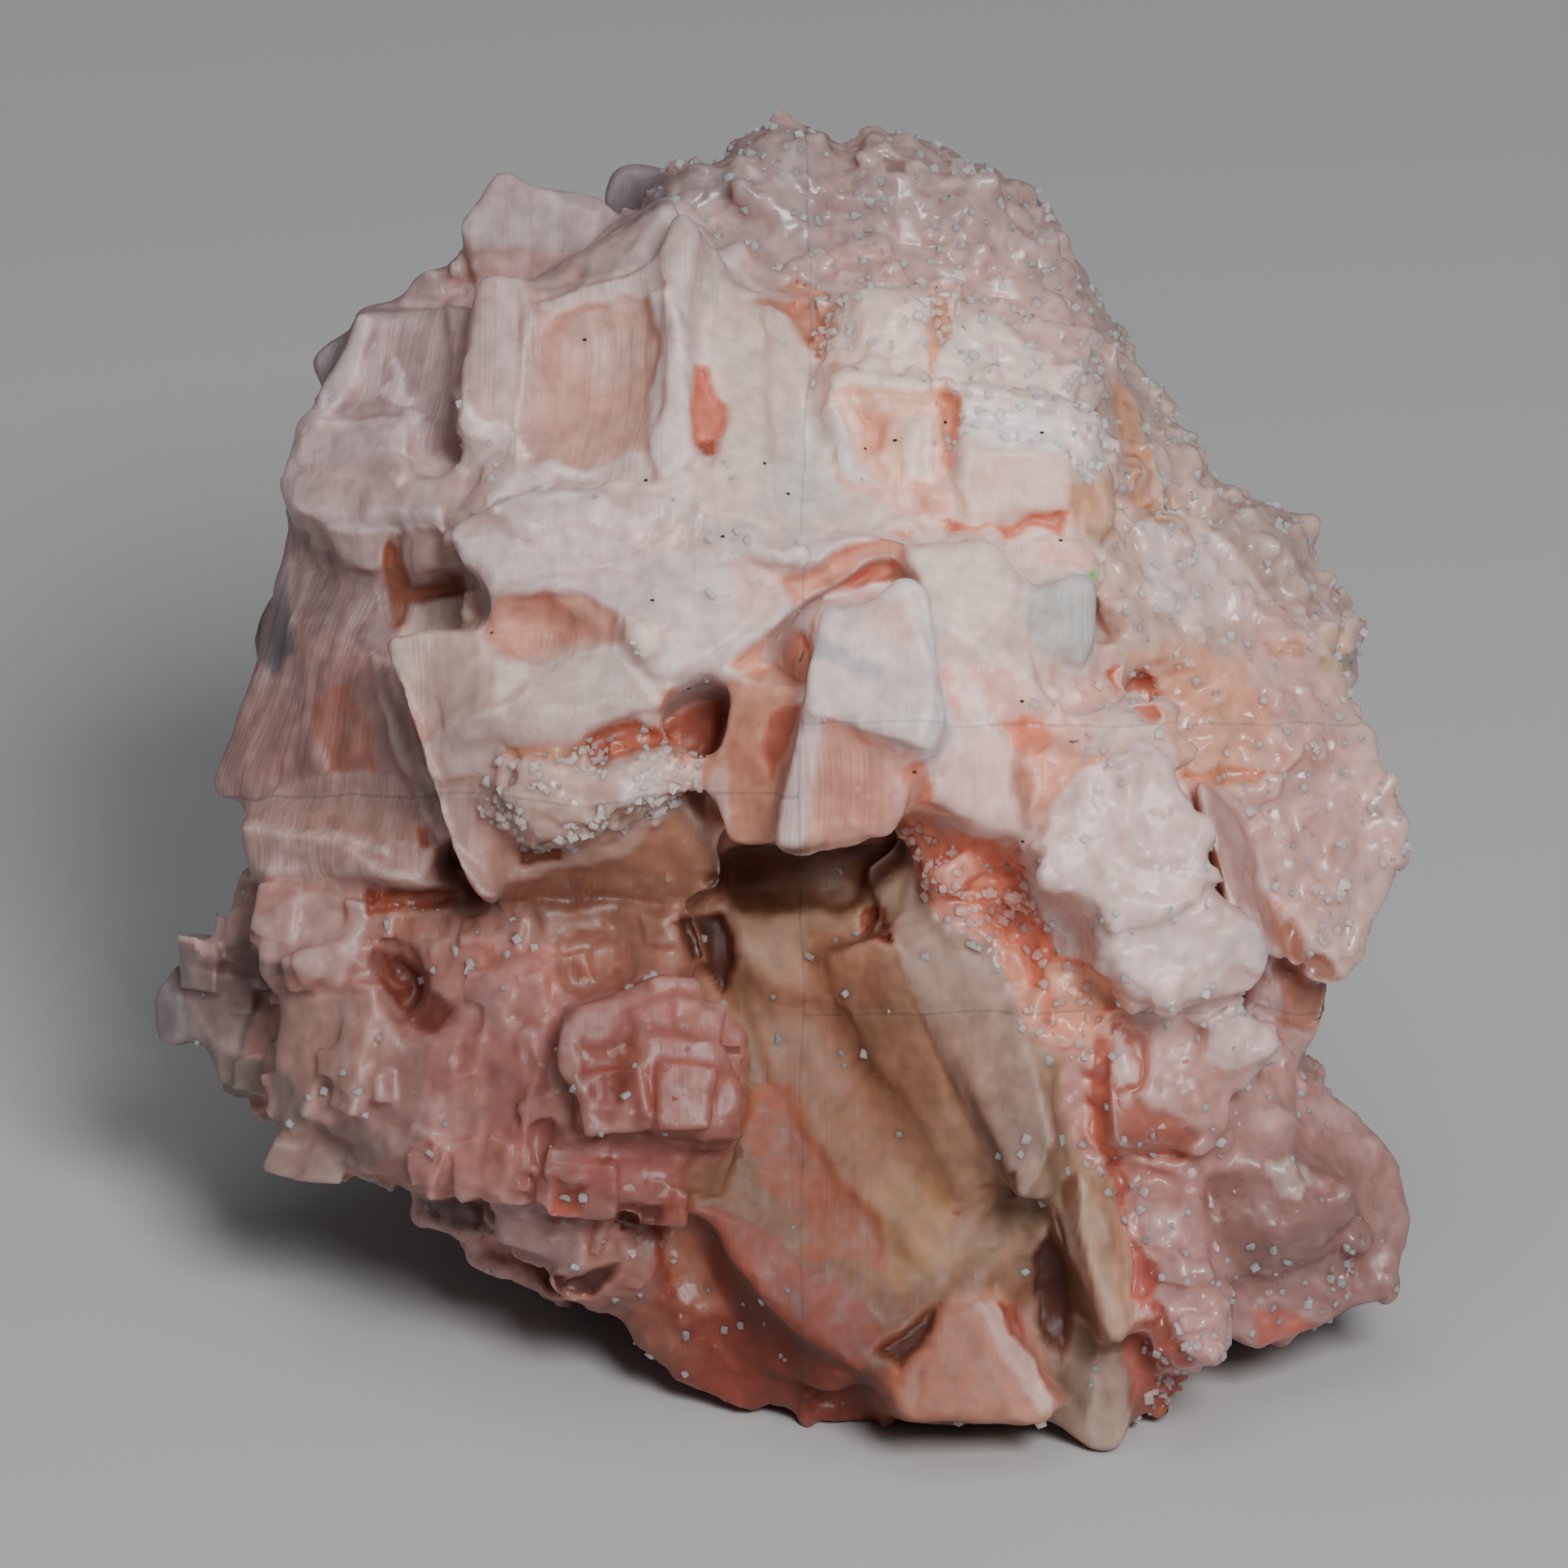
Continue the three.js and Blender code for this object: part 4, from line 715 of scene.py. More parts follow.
def detailed(points, faces, web, axes, looks):
    """points with their relief. axes holds a matrix, and looks a table of numbers, for each point."""
    bent = points + 0.7 * np.stack([waves(points, 4.0, 41 + k) for k in range(3)], axis=1)
    local = np.einsum("nji,nj->ni", axes, bent)
    even = {key: web.evened(looks[key], 4) for key in ("steps", "grain", "lines")}
    normals = normals_of(points, faces)
    size = looks["step_size"][:, None]
    terraces = waves(local / size, 1.9, 51, sharp=7) + 0.5 * waves(local / size, 0.8, 52, sharp=4)
    stretched = local * (1, 0.06, 1)
    growth_lines = waves(stretched, 1.3, 61) + 0.7 * waves(stretched, 0.8, 62)
    grain_size = looks["grain_size"][:, None]
    bump, tone = grains(points / grain_size, 1.0, 71)
    patchy = 0.6 + 0.4 * waves(points, 6.0, 91)
    height = even["steps"] * terraces + even["lines"] * growth_lines
    height += even["grain"] * patchy * ((bump - 0.6) * (1 + 0.5 * tone))
    height += 0.03 * waves_in_octaves(points, 1.4, 99, 2)
    return points + normals * height[:, None]


# ---- the finish and the colour of each crystal --------------------------------------------------

# For each group: its usual finish and colour, and what differs crystal by crystal.
LOOKS = dict(
    hopper=("waxy bca8a4", dict(
        peak="waxy baa8a5", smokyBack="waxy 92888a", backSteps="stepped a08d8b", backCorner="waxy 8c787a",
        leftWall="lined aa9896", leftRim="waxy cec4c4", whiteBlock="waxy d4c8c6", prism="lined c6aca4",
        prismRim="stepped dccec8", hood="waxy c0aaa4", basin="lined caa89c", fin="lined d0c2be",
    )),
    ledges=("waxy c4b2ac", dict(
        leftLedge="waxy cec2c0", underWall="lined ac9894", hangingBlock="waxy bea9a3",
        hangingBlockRight="waxy bca49c", curtain="waxy ccb8b0", curtainEdge="waxy ccb4aa",
        shelf="stepped c6b2ac", shelfRim="stepped d4c8c4", scarp="waxy ccbebc", underLedge="stepped be9c8a",
        nub="sugary e8ded2",
    )),
    tray=("waxy c4aa9e", dict(
        frameBar="waxy bea59e", upperSlab="lined cab2a2", paleFacet="waxy d0c0b4", lip="waxy d0c2bc",
        crumblyPlate="crumbly cab4a8", crumblyBlock="crumbly d0bcae", crumblyBlockRight="crumbly ceb8aa",
        trayFloor="waxy b28672", bottomWall="waxy a6887a", leftFace="lined b49893", leftFacet="lined bc968c",
        wedge="lined bea7a2", smokyEdge="waxy 746c70",
    )),
    cubes=("cubic b08078", dict(
        knob="cubic b68e86", neck="cubic a88c86", tip="cubic 8e8480", tipFoot="cubic 867c74",
        broadCube="cubic ba928a", broadCubeFoot="cubic 9e867c", roof="stepped ba968a",
        brownCube="cubic a67c6a", bigCube="cubic b6827a", heelCube="stepped b8928e",
        footKnob="stepped b88e8a", footKnobLeft="stepped ba928c",
    )),
    keystone=("waxy c89686", dict(
        cap="waxy d4d0d2", striatedFront="lined d09e8e", amberSide="waxy c6947c", sideScale="waxy d4b4aa",
        throat="waxy b27056",
    )),
    whiteBlocks=("stepped dec4b6", dict(
        crustedSlab="crumbly e4d8ce", clearBlock="waxy dcc4b4", tanBlock="waxy ba947a",
        chamber="waxy cea08a", paleFacet="waxy d6beb6", greyFacet="waxy b2aeac", topRight="crumbly d6beb2",
        topLeft="crumbly dec6bc", belly="stepped d6b0a2",
    )),
    shell=("sugary bea49d", dict(
        lobe="sugary d0b2a8", lobeSwell="sugary d4b4a8", shoulder="sugary ceb4a6", slope="sugary bca49a",
        slopeEdge="sugary b4a096",
    )),
    scales=("beaded d8bcb6", dict(
        rib="waxy c4a098", backWeb="waxy ac8a84", amberCleft="crumbly e6a28c", amberBlock="crumbly eab29e",
        amberKnob="crumbly e28872", skirt="beaded d2a096", skirtKnob="beaded d6a89e",
        skirtKnobLow="beaded d0a49e",
    )),
    clayCrystal=("clay 9c7e62", dict(
        rightPlate="clay a48e78", redFoot="clay b26a54", redKnob="stepped b4625a",
        footCrust="stepped b05c54",
    )),
    standingPlates=("clay b09276", dict(
        layeredPlate="clay d4a48e", spike="clay 927e6e", redBack="crumbly ac5852",
        crustPlate="sugary d4aaa4", fan="beaded b88e8a",
    )),
    extras=("lined d6bab0", dict(
        clayTop="clay 96745a", heelFill="stepped ba8c82", footFill="stepped b8806c",
        scaleFill="beaded d6a094", gapFill="clay 96745c", clayRamp="clay 9c7e64", fanFill="beaded be9690",
    )),
)

# The salt of the far side: each entry is the finish and the colour of some of it.
FAR_SIDE = [
    "stepped c4a69e", "sugary c8a8a0", "waxy baa09a",
    "stepped be968e", "sugary ceb4ac",
]


# Painted shade over broad patches, where less light falls towards the top, the left and the bottom and
# in recesses, with some of the salt's own deeper tone: (middle), (half-sizes), the share of red, green
# and blue light left.
PAINTED_SHADE_AND_TONE = [
    ((-30, -22), (20, 14), (0.66, 0.60, 0.60)), ((-10, -26), (14, 12), (0.64, 0.52, 0.47)),
    ((2, -44), (22, 12), (0.42, 0.24, 0.18)), ((8, -22), (14, 14), (0.64, 0.49, 0.40)),
    ((42, -34), (13, 12), (0.52, 0.47, 0.44)), ((4, 46), (24, 9), (0.69, 0.66, 0.68)),
    ((5, -1), (4, 5), (0.84, 0.78, 0.76)), ((32, -26), (8, 9), (0.80, 0.72, 0.72)),
    ((-15, -8.5), (10, 2.2), (0.46, 0.34, 0.29)), ((41, -6), (7, 8), (0.86, 0.80, 0.80)),
    ((3, -33), (9, 7), (0.80, 0.70, 0.62)), ((-19, 43), (7, 5), (0.84, 0.82, 0.84)),
    ((-14, 17), (10, 5), (0.84, 0.77, 0.79)), ((24, 32), (6, 9), (0.84, 0.81, 0.83)),
    ((13, -44), (5, 5), (0.74, 0.68, 0.66)), ((-44, -16), (6, 6), (0.76, 0.72, 0.74)),
    ((30, -36), (4, 6), (0.82, 0.76, 0.77)), ((-16, -21), (9, 8), (0.80, 0.75, 0.77)),
    ((-2, 2), (3, 6), (0.80, 0.70, 0.68)), ((4, 0), (6, 7), (0.90, 0.85, 0.85)),
    ((-34, 28), (16, 26), (0.72, 0.66, 0.68)), ((-34, 0), (16, 12), (0.68, 0.60, 0.58)),
    ((40, 6), (12, 20), (0.82, 0.74, 0.73)), ((-16, -1), (11, 8), (0.80, 0.72, 0.70)),
    ((-15, 31), (5, 7), (0.88, 0.86, 0.86)), ((-31, 26), (6, 7), (0.90, 0.86, 0.87)),
    ((3, -18), (8, 8), (0.90, 0.87, 0.87)), ((20, -27), (6, 8), (0.88, 0.86, 0.87)),
]


def light_of(colour):
    """A colour as eyes see it, two hexadecimal digits a channel, turned into amounts of light."""
    share = np.array(list(bytes.fromhex(colour)), dtype=np.float64) / 255
    return np.where(share <= 0.04045, share / 12.92, ((share + 0.055) / 1.055) ** 2.4)


# ---- the sheets of the best face ----------------------------------------------------------------

# Thin sheets, steps and pockets, from the back ones to the front ones. Each entry is the outline (across,
# up, across, up and so on), how far it stands out (or goes in, below 0), how soft its edge is, how ragged
# its edge is, its colour and how bright the painted highlight on its rim is. The sheets named for shade,
# shadows, gaps, crevices, holes and what lies under an overhang are painted shade, and the dark orange
# ones in pockets are partly the salt's own amber and partly painted shade.
SHEETS = dict(
    # the open crystal at the upper left
    peak=((-23, 47.8, -21.8, 48.8, -20, 47.5, -17.5, 45.5, -14.5, 44.5, -15, 41, -18, 37, -24, 41.5,
        -25.3, 44), 0.3, 0.6, 0.3, "c6b4b2", 0.4),
    peakShade=((-24.5, 41.5, -16, 41, -14, 38, -18, 36.5, -26, 37.5), -0.4, 1.0, 0.3, "c0a096", 0),
    leftWall=((-34, 37, -26, 37.3, -25.8, 28, -33.5, 28, -36.5, 31), -0.3, 0.6, 0.2, "b2a09e", 0),
    leftRim=((-33.4, 36.7, -31.5, 36.5, -33, 31, -35.5, 27.5, -37.3, 28.5, -36, 34), 0.4, 0.5, 0.3, "d8d0d2",
        0.5),
    whiteCrust=((-31.6, 31, -29.8, 33.5, -28.6, 29.5, -30, 27.5, -33, 27.8, -36, 29.6, -35.5, 27.4, -29, 25,
        -28, 28), 0.2, 0.4, 0.9, "e6dede", 0.2),
    whiteBlock=((-36.3, 28, -29, 28.2, -28.5, 24.5, -30, 22.2, -36, 23.7, -37.3, 24.8), 0.5, 0.4, 0.3,
        "dcd0cc", 0.5),
    prism=((-25.5, 38.5, -20, 39, -19.2, 36, -19.5, 33.5, -20, 27, -24.3, 27.5, -26, 30), 0.6, 0.5, 0.2,
        "cab0aa", 0.5),
    prismStripe=((-22.2, 38.5, -20.6, 38.6, -20.4, 28, -21.6, 28), 0.1, 0.5, 0.2, "d8c6c0", 0),
    prismRim=((-25.7, 30, -24.3, 30, -23.8, 27.8, -20, 26.5, -19, 25.2, -20, 24.6, -24.8, 26.5), 0.5, 0.4,
        0.5, "e8dad4", 0.5),
    hood=((-18.6, 37, -14, 39, -10.5, 42.5, -9.5, 44.3, -7, 44, -5.6, 41.8, -4.2, 38.8, -5.5, 35.5, -7.5, 33,
        -9.5, 34, -10.2, 37, -12.5, 37.5, -16, 35.8), 0.5, 0.5, 0.4, "d2c2bc", 0.5),
    basin=((-18.5, 36, -15, 37.3, -11.5, 36.5, -9.8, 33, -10, 27, -11, 25, -15, 24, -18, 25, -19, 29,
        -18.6, 33), 0.8, 2.6, 0.3, "d4a898", 0),
    basinPale=((-16, 36.5, -12, 36, -10.5, 32, -13, 30, -16, 33), 0, 2.0, 0.6, "dabcae", 0),
    fin=((-10.2, 37.5, -8.8, 38, -7.6, 34, -7.3, 29, -7.2, 24, -9.8, 22.3, -10.6, 24.5, -10.4, 29, -9.6, 33),
        1.2, 0.5, 0.2, "e0d2ce", 0.6),
    pocketByFin=((-7.2, 31.5, -6.2, 31.5, -5.8, 30, -4.6, 28.6, -4.4, 27, -5.5, 24.8, -7.2, 25), -1.2, 0.8,
        0.3, "c47454", 0),
    pocketFoot=((-6.9, 25.6, -5.4, 25.6, -5.6, 24.6, -6.7, 24.4), -0.8, 0.5, 0.3, "8c3824", 0),
    curtain=((-4.5, 38.8, -2.3, 38.3, 2.2, 33.2, 5, 28.5, 8.6, 24.6, 8.5, 20.5, 2, 16.5, -5, 17, -7, 22.2,
        -4.8, 25, -4.2, 28, -5.8, 30.2, -6, 35), 0.4, 0.5, 0.2, "dcc4b8", 0.4),
    curtainShade=((-1, 27, 4, 28.5, 7, 24, 4, 20, -2, 20.5), -0.5, 3.0, 0.5, "cec4be", 0),
    topPocketLeft=((-2.6, 37, 0.5, 39, 1.4, 38.2, 0.3, 35.8, -1, 36.5), -0.8, 0.7, 0.3, "b88470", 0),
    topPocket=((0.2, 37.3, 1.4, 38.3, 3.3, 37.2, 3.9, 34.5, 2.6, 31.8, 1.2, 33.5, -0.5, 36.6), -1.3, 0.8,
        0.2, "c88870", 0),
    ledge=((-37.6, 23.5, -36, 24.5, -20, 24.8, -15.5, 24, -12, 25, -7.2, 22.8, -6, 20, -2, 19.5, 6, 19,
        9.6, 19.8, 6, 17.8, 2, 17, 0, 14.8, -6, 14.4, -12, 16, -22, 15, -25.5, 19, -38, 19.5), 0.4, 0.6, 0.3,
        "d4c4be", 0.3),
    ledgeWarm=((-27, 23.5, -21, 24.6, -22, 22, -21, 19, -26, 20), -0.2, 1.2, 0.5, "ceb2aa", 0),
    ledgeCrust=((-20, 19, -19, 21.8, -17, 22, -14, 21.5, -11.5, 20.5, -10, 18.6, -13, 16.5, -17, 17.4), 0.3,
        0.4, 0.9, "e4dad6", 0.3),
    ledgeLine=((-20.3, 23.8, -17, 24.6, -14.5, 23.6, -17, 23.4, -20.6, 22.4, -21.6, 20.5, -22, 22), 0.4, 0.4,
        0.4, "e2d6d2", 0.4),
    leftBand=((-37.6, 21.5, -33, 20.6, -26, 20.9, -25.6, 19.2, -36, 19.3), 0.4, 0.4, 0.3, "ded4d2", 0.4),
    hangingBlock=((-36.5, 19.6, -30, 19.2, -31, 16.6, -35.6, 15.8, -37, 17.5), 0.8, 0.5, 0.2, "c8b4ac", 0.5),
    hangingBlockRight=((-29.4, 19.2, -25.6, 19.4, -24.4, 15.4, -29, 15.4, -30, 17), 0.8, 0.5, 0.2, "c8aca2",
        0.4),
    # Painted shade in the gap between the hanging blocks.
    blockGap=((-31, 17.5, -30.4, 19, -29.6, 17, -28.8, 15.2, -24.6, 15.1, -24.4, 14, -29, 14, -29, 12,
        -30.5, 12.2, -31.5, 14.6), -0.7, 0.6, 0.2, "a46a50", 0),
    underWall=((-38.5, 19, -31.5, 16, -30, 12, -31, 9, -35, 9.5, -38, 13), -0.4, 1.0, 0.2, "a28e8c", 0),
    smokyEdge=((-40, 16, -38.3, 17.5, -38, 10, -40, 8.5, -41.7, 11.5), 0, 0.6, 0.2, "706c72", 0.2),
    scarp=((-25.4, 19, -14.5, 16.8, -8, 17.5, -4, 17.5, 0, 15, -4, 11, -8, 7.9, -13, 10.2, -12.5, 13,
        -14.5, 14.3, -21.5, 14.3, -24.4, 15), 0.4, 0.5, 0.4, "d8ccca", 0.5),
    scarpWarm=((-4, 17.3, 1, 16, -1, 12, -4, 12), -0.3, 1.8, 0.5, "d6b6ac", 0),
    # Painted shade under the overhang of the scarp.
    underScarp=((-21.5, 14, -14.5, 14.2, -12.3, 12.6, -12, 10.6, -18, 10.3, -20.5, 9.3, -23, 12), -0.7, 1.0,
        0.3, "d09e8a", 0),
    nub=((-11.5, 12.5, -8.6, 12.2, -9, 10, -10.5, 9.5, -11.6, 10.4), 0.9, 0.5, 0.4, "f4e4d6", 0.3),
    # the tilted tray below it
    trayFacet=((-28.5, 13.5, -25, 14, -22.5, 12, -22, 9.5, -18.5, 10, -19.5, 6.5, -23.8, 4, -26.5, 3.6,
        -30.3, 9.5), 0.3, 0.5, 0.3, "d4c0b2", 0.3),
    trayWhite=((-21.5, 8.8, -19, 9.6, -18.6, 8.6, -21, 6.4, -22, 7), 0.1, 0.6, 0.6, "eae0d6", 0),
    trayLip=((-18.6, 9.4, -13, 10.4, -8.2, 6.1, -11.5, 5.2, -18, 2.4, -22.6, 0.5, -26, -0.3, -28, 0.8,
        -26.3, 3.3, -20, 6.5), 0.6, 0.5, 0.3, "cebeb8", 0.4),
    frameBar=((-31.5, 10.3, -30, 9.8, -27.5, 4.5, -26, -1.5, -24.5, -5, -21, -8.4, -23.5, -8.6, -25.8, -6,
        -28, -0.5, -29.6, 3), 1.2, 0.5, 0.2, "c0a8a2", 0.8),
    # Partly amber salt, partly painted shade under the lip.
    amberUnderLip=((-15.5, 3.8, -11, 4.8, -9.5, 4.3, -8, 3, -12, 2.1, -14.8, 2), -1.4, 0.7, 0.3, "b46846",
        0),
    amberSlope=((-22.5, 0.8, -16, 2.9, -15, 4, -20, 2.8), -0.6, 0.6, 0.3, "ca9e86", 0),
    trayFloor=((-23, -1, -21.8, -3.4, -17, -5, -12.5, -4, -9, -2, -8, -3, -12, -5.5, -16, -6.8, -21, -7.5,
        -24, -4), 0, 0.6, 0.4, "c0a090", 0.3),
    crumblyPlate=((-22.5, 0.5, -20, 1.8, -15.5, 3, -13.8, 1.6, -9, 2.3, -7.5, 0.6, -10, -2.2, -12.2, -1.8,
        -14.5, -3, -17.5, -4.3, -20.5, -3.8, -22, -2), 0.9, 0.4, 0.8, "dac2b6", 0.5),
    crumblyWhite=((-13, 0.8, -11.5, 1.2, -9.3, 0.2, -10, -1.8, -12.3, -1.3), 0.3, 0.4, 0.8, "eaded6", 0.3),
    trayBrown=((-19.5, -4.6, -16.6, -4.4, -16.4, -6, -19.2, -6), -0.8, 0.5, 0.5, "986850", 0),
    # Partly brown salt, partly painted shade in the recess under the tray.
    bottomWall=((-20.5, -8, -12, -5.5, -8, -1.8, -6.3, -4.2, -4.3, -5, -4.2, -8, -6, -9.8, -14, -9,
        -21, -10.2), -0.8, 0.8, 0.3, "9e7056", 0.2),
    amberOpening=((-8.6, 7.3, -6.5, 7.5, -4.2, 6.8, -4.9, 4, -6.2, 1.8, -8, 1.5, -9.5, 4.2), 1.2, 1.0, 0.2,
        "ac542e", 0),
    leftFace=((-38, 9.5, -35, 12, -31.5, 10, -29.5, 3.5, -28.5, 0.5, -31, 0.8, -34.5, 1, -37, -0.5,
        -42.8, 0), 0, 0.8, 0.2, "b4948e", 0.2),
    leftWarm=((-36, 6, -33, 8, -31, 4, -30.5, 1, -34.5, 1, -35.5, 3), -0.3, 0.8, 0.4, "b88678", 0),
    leftPale=((-43, -2, -37, 0, -34.5, 0.8, -29, 0.5, -27, -2.5, -26.5, -8, -33, -7.5, -44, -3.8), 0.3, 0.6,
        0.3, "c0a29a", 0.3),
    leftLine=((-43.4, -2.6, -37, -3.4, -30, -5, -30, -5.6, -37, -4.4, -43.4, -3.6), 0.3, 0.4, 0.3, "d0beb8",
        0.3),
    wedge=((-43.5, -3.2, -36, -3.8, -26.3, -8.4, -28, -8.6, -35, -7.2, -43, -7.2), 0.7, 0.5, 0.2, "c6aea8",
        0.5),
    amberSpot=((-27.7, -3.5, -27, -3.5, -26.9, -5, -27.8, -5), -0.6, 0.5, 0.2, "b26e54", 0),
    underWedge=((-31.5, -10, -24, -10, -21, -10.4, -22.5, -11.5, -27, -14, -30, -13, -31.5, -12), 0, 0.8,
        0.3, "b48674", 0.2),
    # Partly amber salt, partly painted shade under the wedge.
    amberUnderWedge=((-31.8, -8.3, -25.5, -8.6, -25.3, -9.8, -31.5, -10.2), -1.1, 0.6, 0.2, "a05838", 0),
    # the stepped crystals at the lower left
    neck=((-46.5, -14.4, -42, -11.2, -40.5, -12.5, -37, -14, -40.5, -14.8), 0, 0.6, 0.2, "8a7672", 0),
    knob=((-40.5, -10.5, -36, -8.6, -32, -9.3, -32.3, -12, -34, -15.5, -37, -14, -41, -12.5), 0.25, 0.7, 0.3,
        "c8a8a0", 0.12),
    tip=((-46.5, -14.4, -40.3, -14.6, -41.5, -17.5, -42.5, -21, -44.5, -20, -46, -17.5), 0.2, 0.5, 0.2,
        "a2928c", 0.2),
    tipEnd=((-49.3, -17, -46.7, -15, -45.8, -17.5, -46, -19.8, -48.5, -20.4), 0, 0.5, 0.2, "7a7676", 0.2),
    broadCube=((-40.3, -15.5, -34, -16, -31, -16.2, -29.5, -19, -31, -23.5, -32, -25, -37, -26.2, -38.5, -23,
        -42, -21), 0.25, 0.7, 0.2, "c6a296", 0.12),
    broadCubeLeft=((-40, -21.8, -38.5, -22.5, -36, -26, -38, -27, -40, -25.3), 0, 0.5, 0.2, "a6948c", 0.2),
    greyFoot=((-36.5, -26.3, -32.5, -25.2, -30, -27, -30.5, -28.5, -34, -29.8), 0, 0.5, 0.3, "98827a", 0),
    cavityRoof=((-29.8, -12.8, -24, -12, -21.5, -11.5, -24, -15, -25, -16.7, -27, -15.5), 0.25, 0.7, 0.3,
        "c28e80", 0.12),
    pinkZone=((-24, -12, -17, -12.5, -17, -18, -19, -20, -22.3, -16), 0, 0.8, 0.3, "c68a7e", 0),
    # Partly red salt, partly painted shade in the cavity.
    cavity=((-31.5, -12.5, -30, -13, -27.5, -15.3, -25.4, -17, -26.5, -18.8, -28.5, -18, -30.5, -15.5,
        -32, -13.5), -0.6, 0.7, 0.2, "823822", 0),
    cubeColumn=((-30, -19, -27, -19.3, -27.2, -24, -27.6, -27, -30, -28.5, -31, -24), 0.25, 0.7, 0.2,
        "b28e88", 0.12),
    bigCube=((-27, -19, -22.3, -16, -19, -19, -19, -26, -21, -31.5, -25, -30, -27.4, -26.5), 0.25, 0.7, 0.2,
        "c28e86", 0.12),
    brownSteps=((-17.3, -13, -15, -11.5, -11.5, -12.5, -12, -15.5, -15.5, -16, -17, -15), -0.6, 0.6, 0.3,
        "a26c58", 0.3),
    rightCube=((-12, -17, -8, -15.5, -5, -17, -3, -19, -2.6, -25, -5, -26.8, -8, -26, -10.5, -24.5,
        -11, -20), 0.5, 0.7, 0.2, "bc827a", 0.12),
    midCube=((-13, -25.8, -8.5, -26.3, -7.8, -29, -11, -31.7, -16, -30, -16, -27.2), 0.25, 0.7, 0.2,
        "bc7c78", 0.12),
    pitRim=((-17.8, -20.5, -16.3, -20.8, -16, -24, -13, -25.8, -12.3, -22.5, -11.5, -24, -10.5, -26.5,
        -15, -27, -18.3, -24.5), 0.15, 0.9, 0.9, "cea69c", 0.1),
    pit=((-15.5, -18.8, -12.3, -19.5, -12.2, -23, -14, -23.8, -15.5, -21.5), -0.5, 0.8, 1.0, "ac685a", 0),
    redSpots=((-17, -30, -14.8, -30.3, -15.2, -32, -17.8, -33), -0.6, 0.5, 0.9, "bc5050", 0),
    redCrack=((-12.3, -32, -9, -32, -9.5, -33.5, -12, -33.5), -0.9, 0.5, 0.4, "783222", 0),
    heel=((-22, -31.8, -18, -31.5, -15, -34.5, -15, -36.5, -17, -37.3, -21, -34.8), 0.4, 0.5, 0.5, "b89896",
        0.3),
    heelDark=((-28, -32, -22, -32.5, -21.5, -35, -26, -34.6), 0, 0.6, 0.3, "786260", 0),
    # Painted shadow under the heel.
    underHeelShadow=((-20.5, -36, -16, -37.5, -12, -36, -14, -38.5, -17, -39), -1.0, 0.6, 0.4, "5c2c28", 0),
    # the keystone in the middle
    throat=((-4, 8.7, -2.5, 10.3, 0.5, 12, 1.6, 10.2, 0.6, 8.8, -2.8, 8), -1.0, 0.8, 0.3, "d09680", 0),
    # Painted shade in the hole of the throat, over the amber of the salt.
    throatHole=((-3, 7.8, -1.8, 8.5, -0.8, 8.2, -1.6, 7.2), -1.3, 0.4, 0.3, "96441c", 0),
    alcove=((0.2, 15.2, 5, 18, 9.6, 18.9, 9.3, 16.5, 7, 14.9, 3, 14.4, 1, 13.2), -1.2, 1.0, 0.2, "d8927a",
        0),
    alcoveFoot=((3.2, 14.5, 4.8, 15.6, 7, 15.4, 6, 14.6), -0.6, 0.4, 0.4, "be583e", 0),
    sideAmber=((-3.8, 6, -2.5, 8.2, 0, 8.8, 1.3, 10, 0.9, 6, 1, 3, -0.2, -1, -1, -4.7, -5, -5, -6, -2.5,
        -5.6, 1, -4.6, 3.5), 0.2, 0.5, 0.3, "d0967c", 0.3),
    sideWindow=((-1, 5, 1.2, 5.5, 0.8, 3, -0.5, 0.3, -1.6, 2.5), -0.3, 0.8, 0.4, "bc6a46", 0),
    sidePale=((-6.2, -0.5, -4.5, 1.5, -3.8, -4.5, -5.2, -4.8), 0, 0.8, 0.4, "d4b0a2", 0.3),
    frontLeft=((1.3, 5.5, 3.2, 5.4, 2.6, 1, 1.8, -4.9, -1, -4.7, 0.6, 0.5), 0.5, 0.5, 0.2, "e4d0cc", 0.5),
    frontRight=((3.2, 5.4, 6.5, 3.9, 10.6, 1.8, 9.5, 0.5, 9, -3.2, 7.6, -4.2, 1.8, -4.8, 2.6, 1), 0.4, 0.8,
        0.2, "da9e8c", 0.3),
    cap=((2.8, 14.3, 8.6, 14.8, 9.6, 13.2, 11.6, 8.2, 11.2, 5, 10.4, 2.5, 6.5, 3.9, 3.5, 5.2, 0.8, 5.8,
        1.9, 10), 0.7, 0.4, 0.2, "e6d4d0", 0.6),
    capStreak=((2.2, 11.4, 4.5, 10.6, 7.5, 9, 7, 8.2, 4, 9.2, 2, 9.9), -0.2, 0.8, 0.4, "bab8be", 0),
    capPink=((5.5, 14.3, 9, 14, 10.3, 11, 8, 10.5, 6, 12), 0, 1.5, 0.3, "e2c0b2", 0),
    rightScale=((11, 1.2, 15, 4.6, 19, 1, 19.4, -1.2, 17.5, -3.8, 13, -2.8, 11, -1.5), 0.7, 0.5, 0.4,
        "e0b8ac", 0.5),
    underKey=((8.6, 0.3, 10.8, 1, 10.8, -1.8, 12, -3, 9.9, -3), -0.4, 0.5, 0.3, "d48066", 0),
    keyShadow=((-4.5, -5, 7.5, -4.4, 9.6, -3, 9.8, -6, 4.5, -9, -3, -9, -6, -7), -0.8, 1.6, 0.4, "5c3822",
        0),
    # the white blocks at the upper right
    blockRow=((5.3, 31, 9.8, 37.2, 11.3, 36.8, 11.8, 34, 11, 31, 11.2, 28.5, 6.5, 28.8), 0.4, 0.4, 0.7,
        "ecd6ca", 0.4),
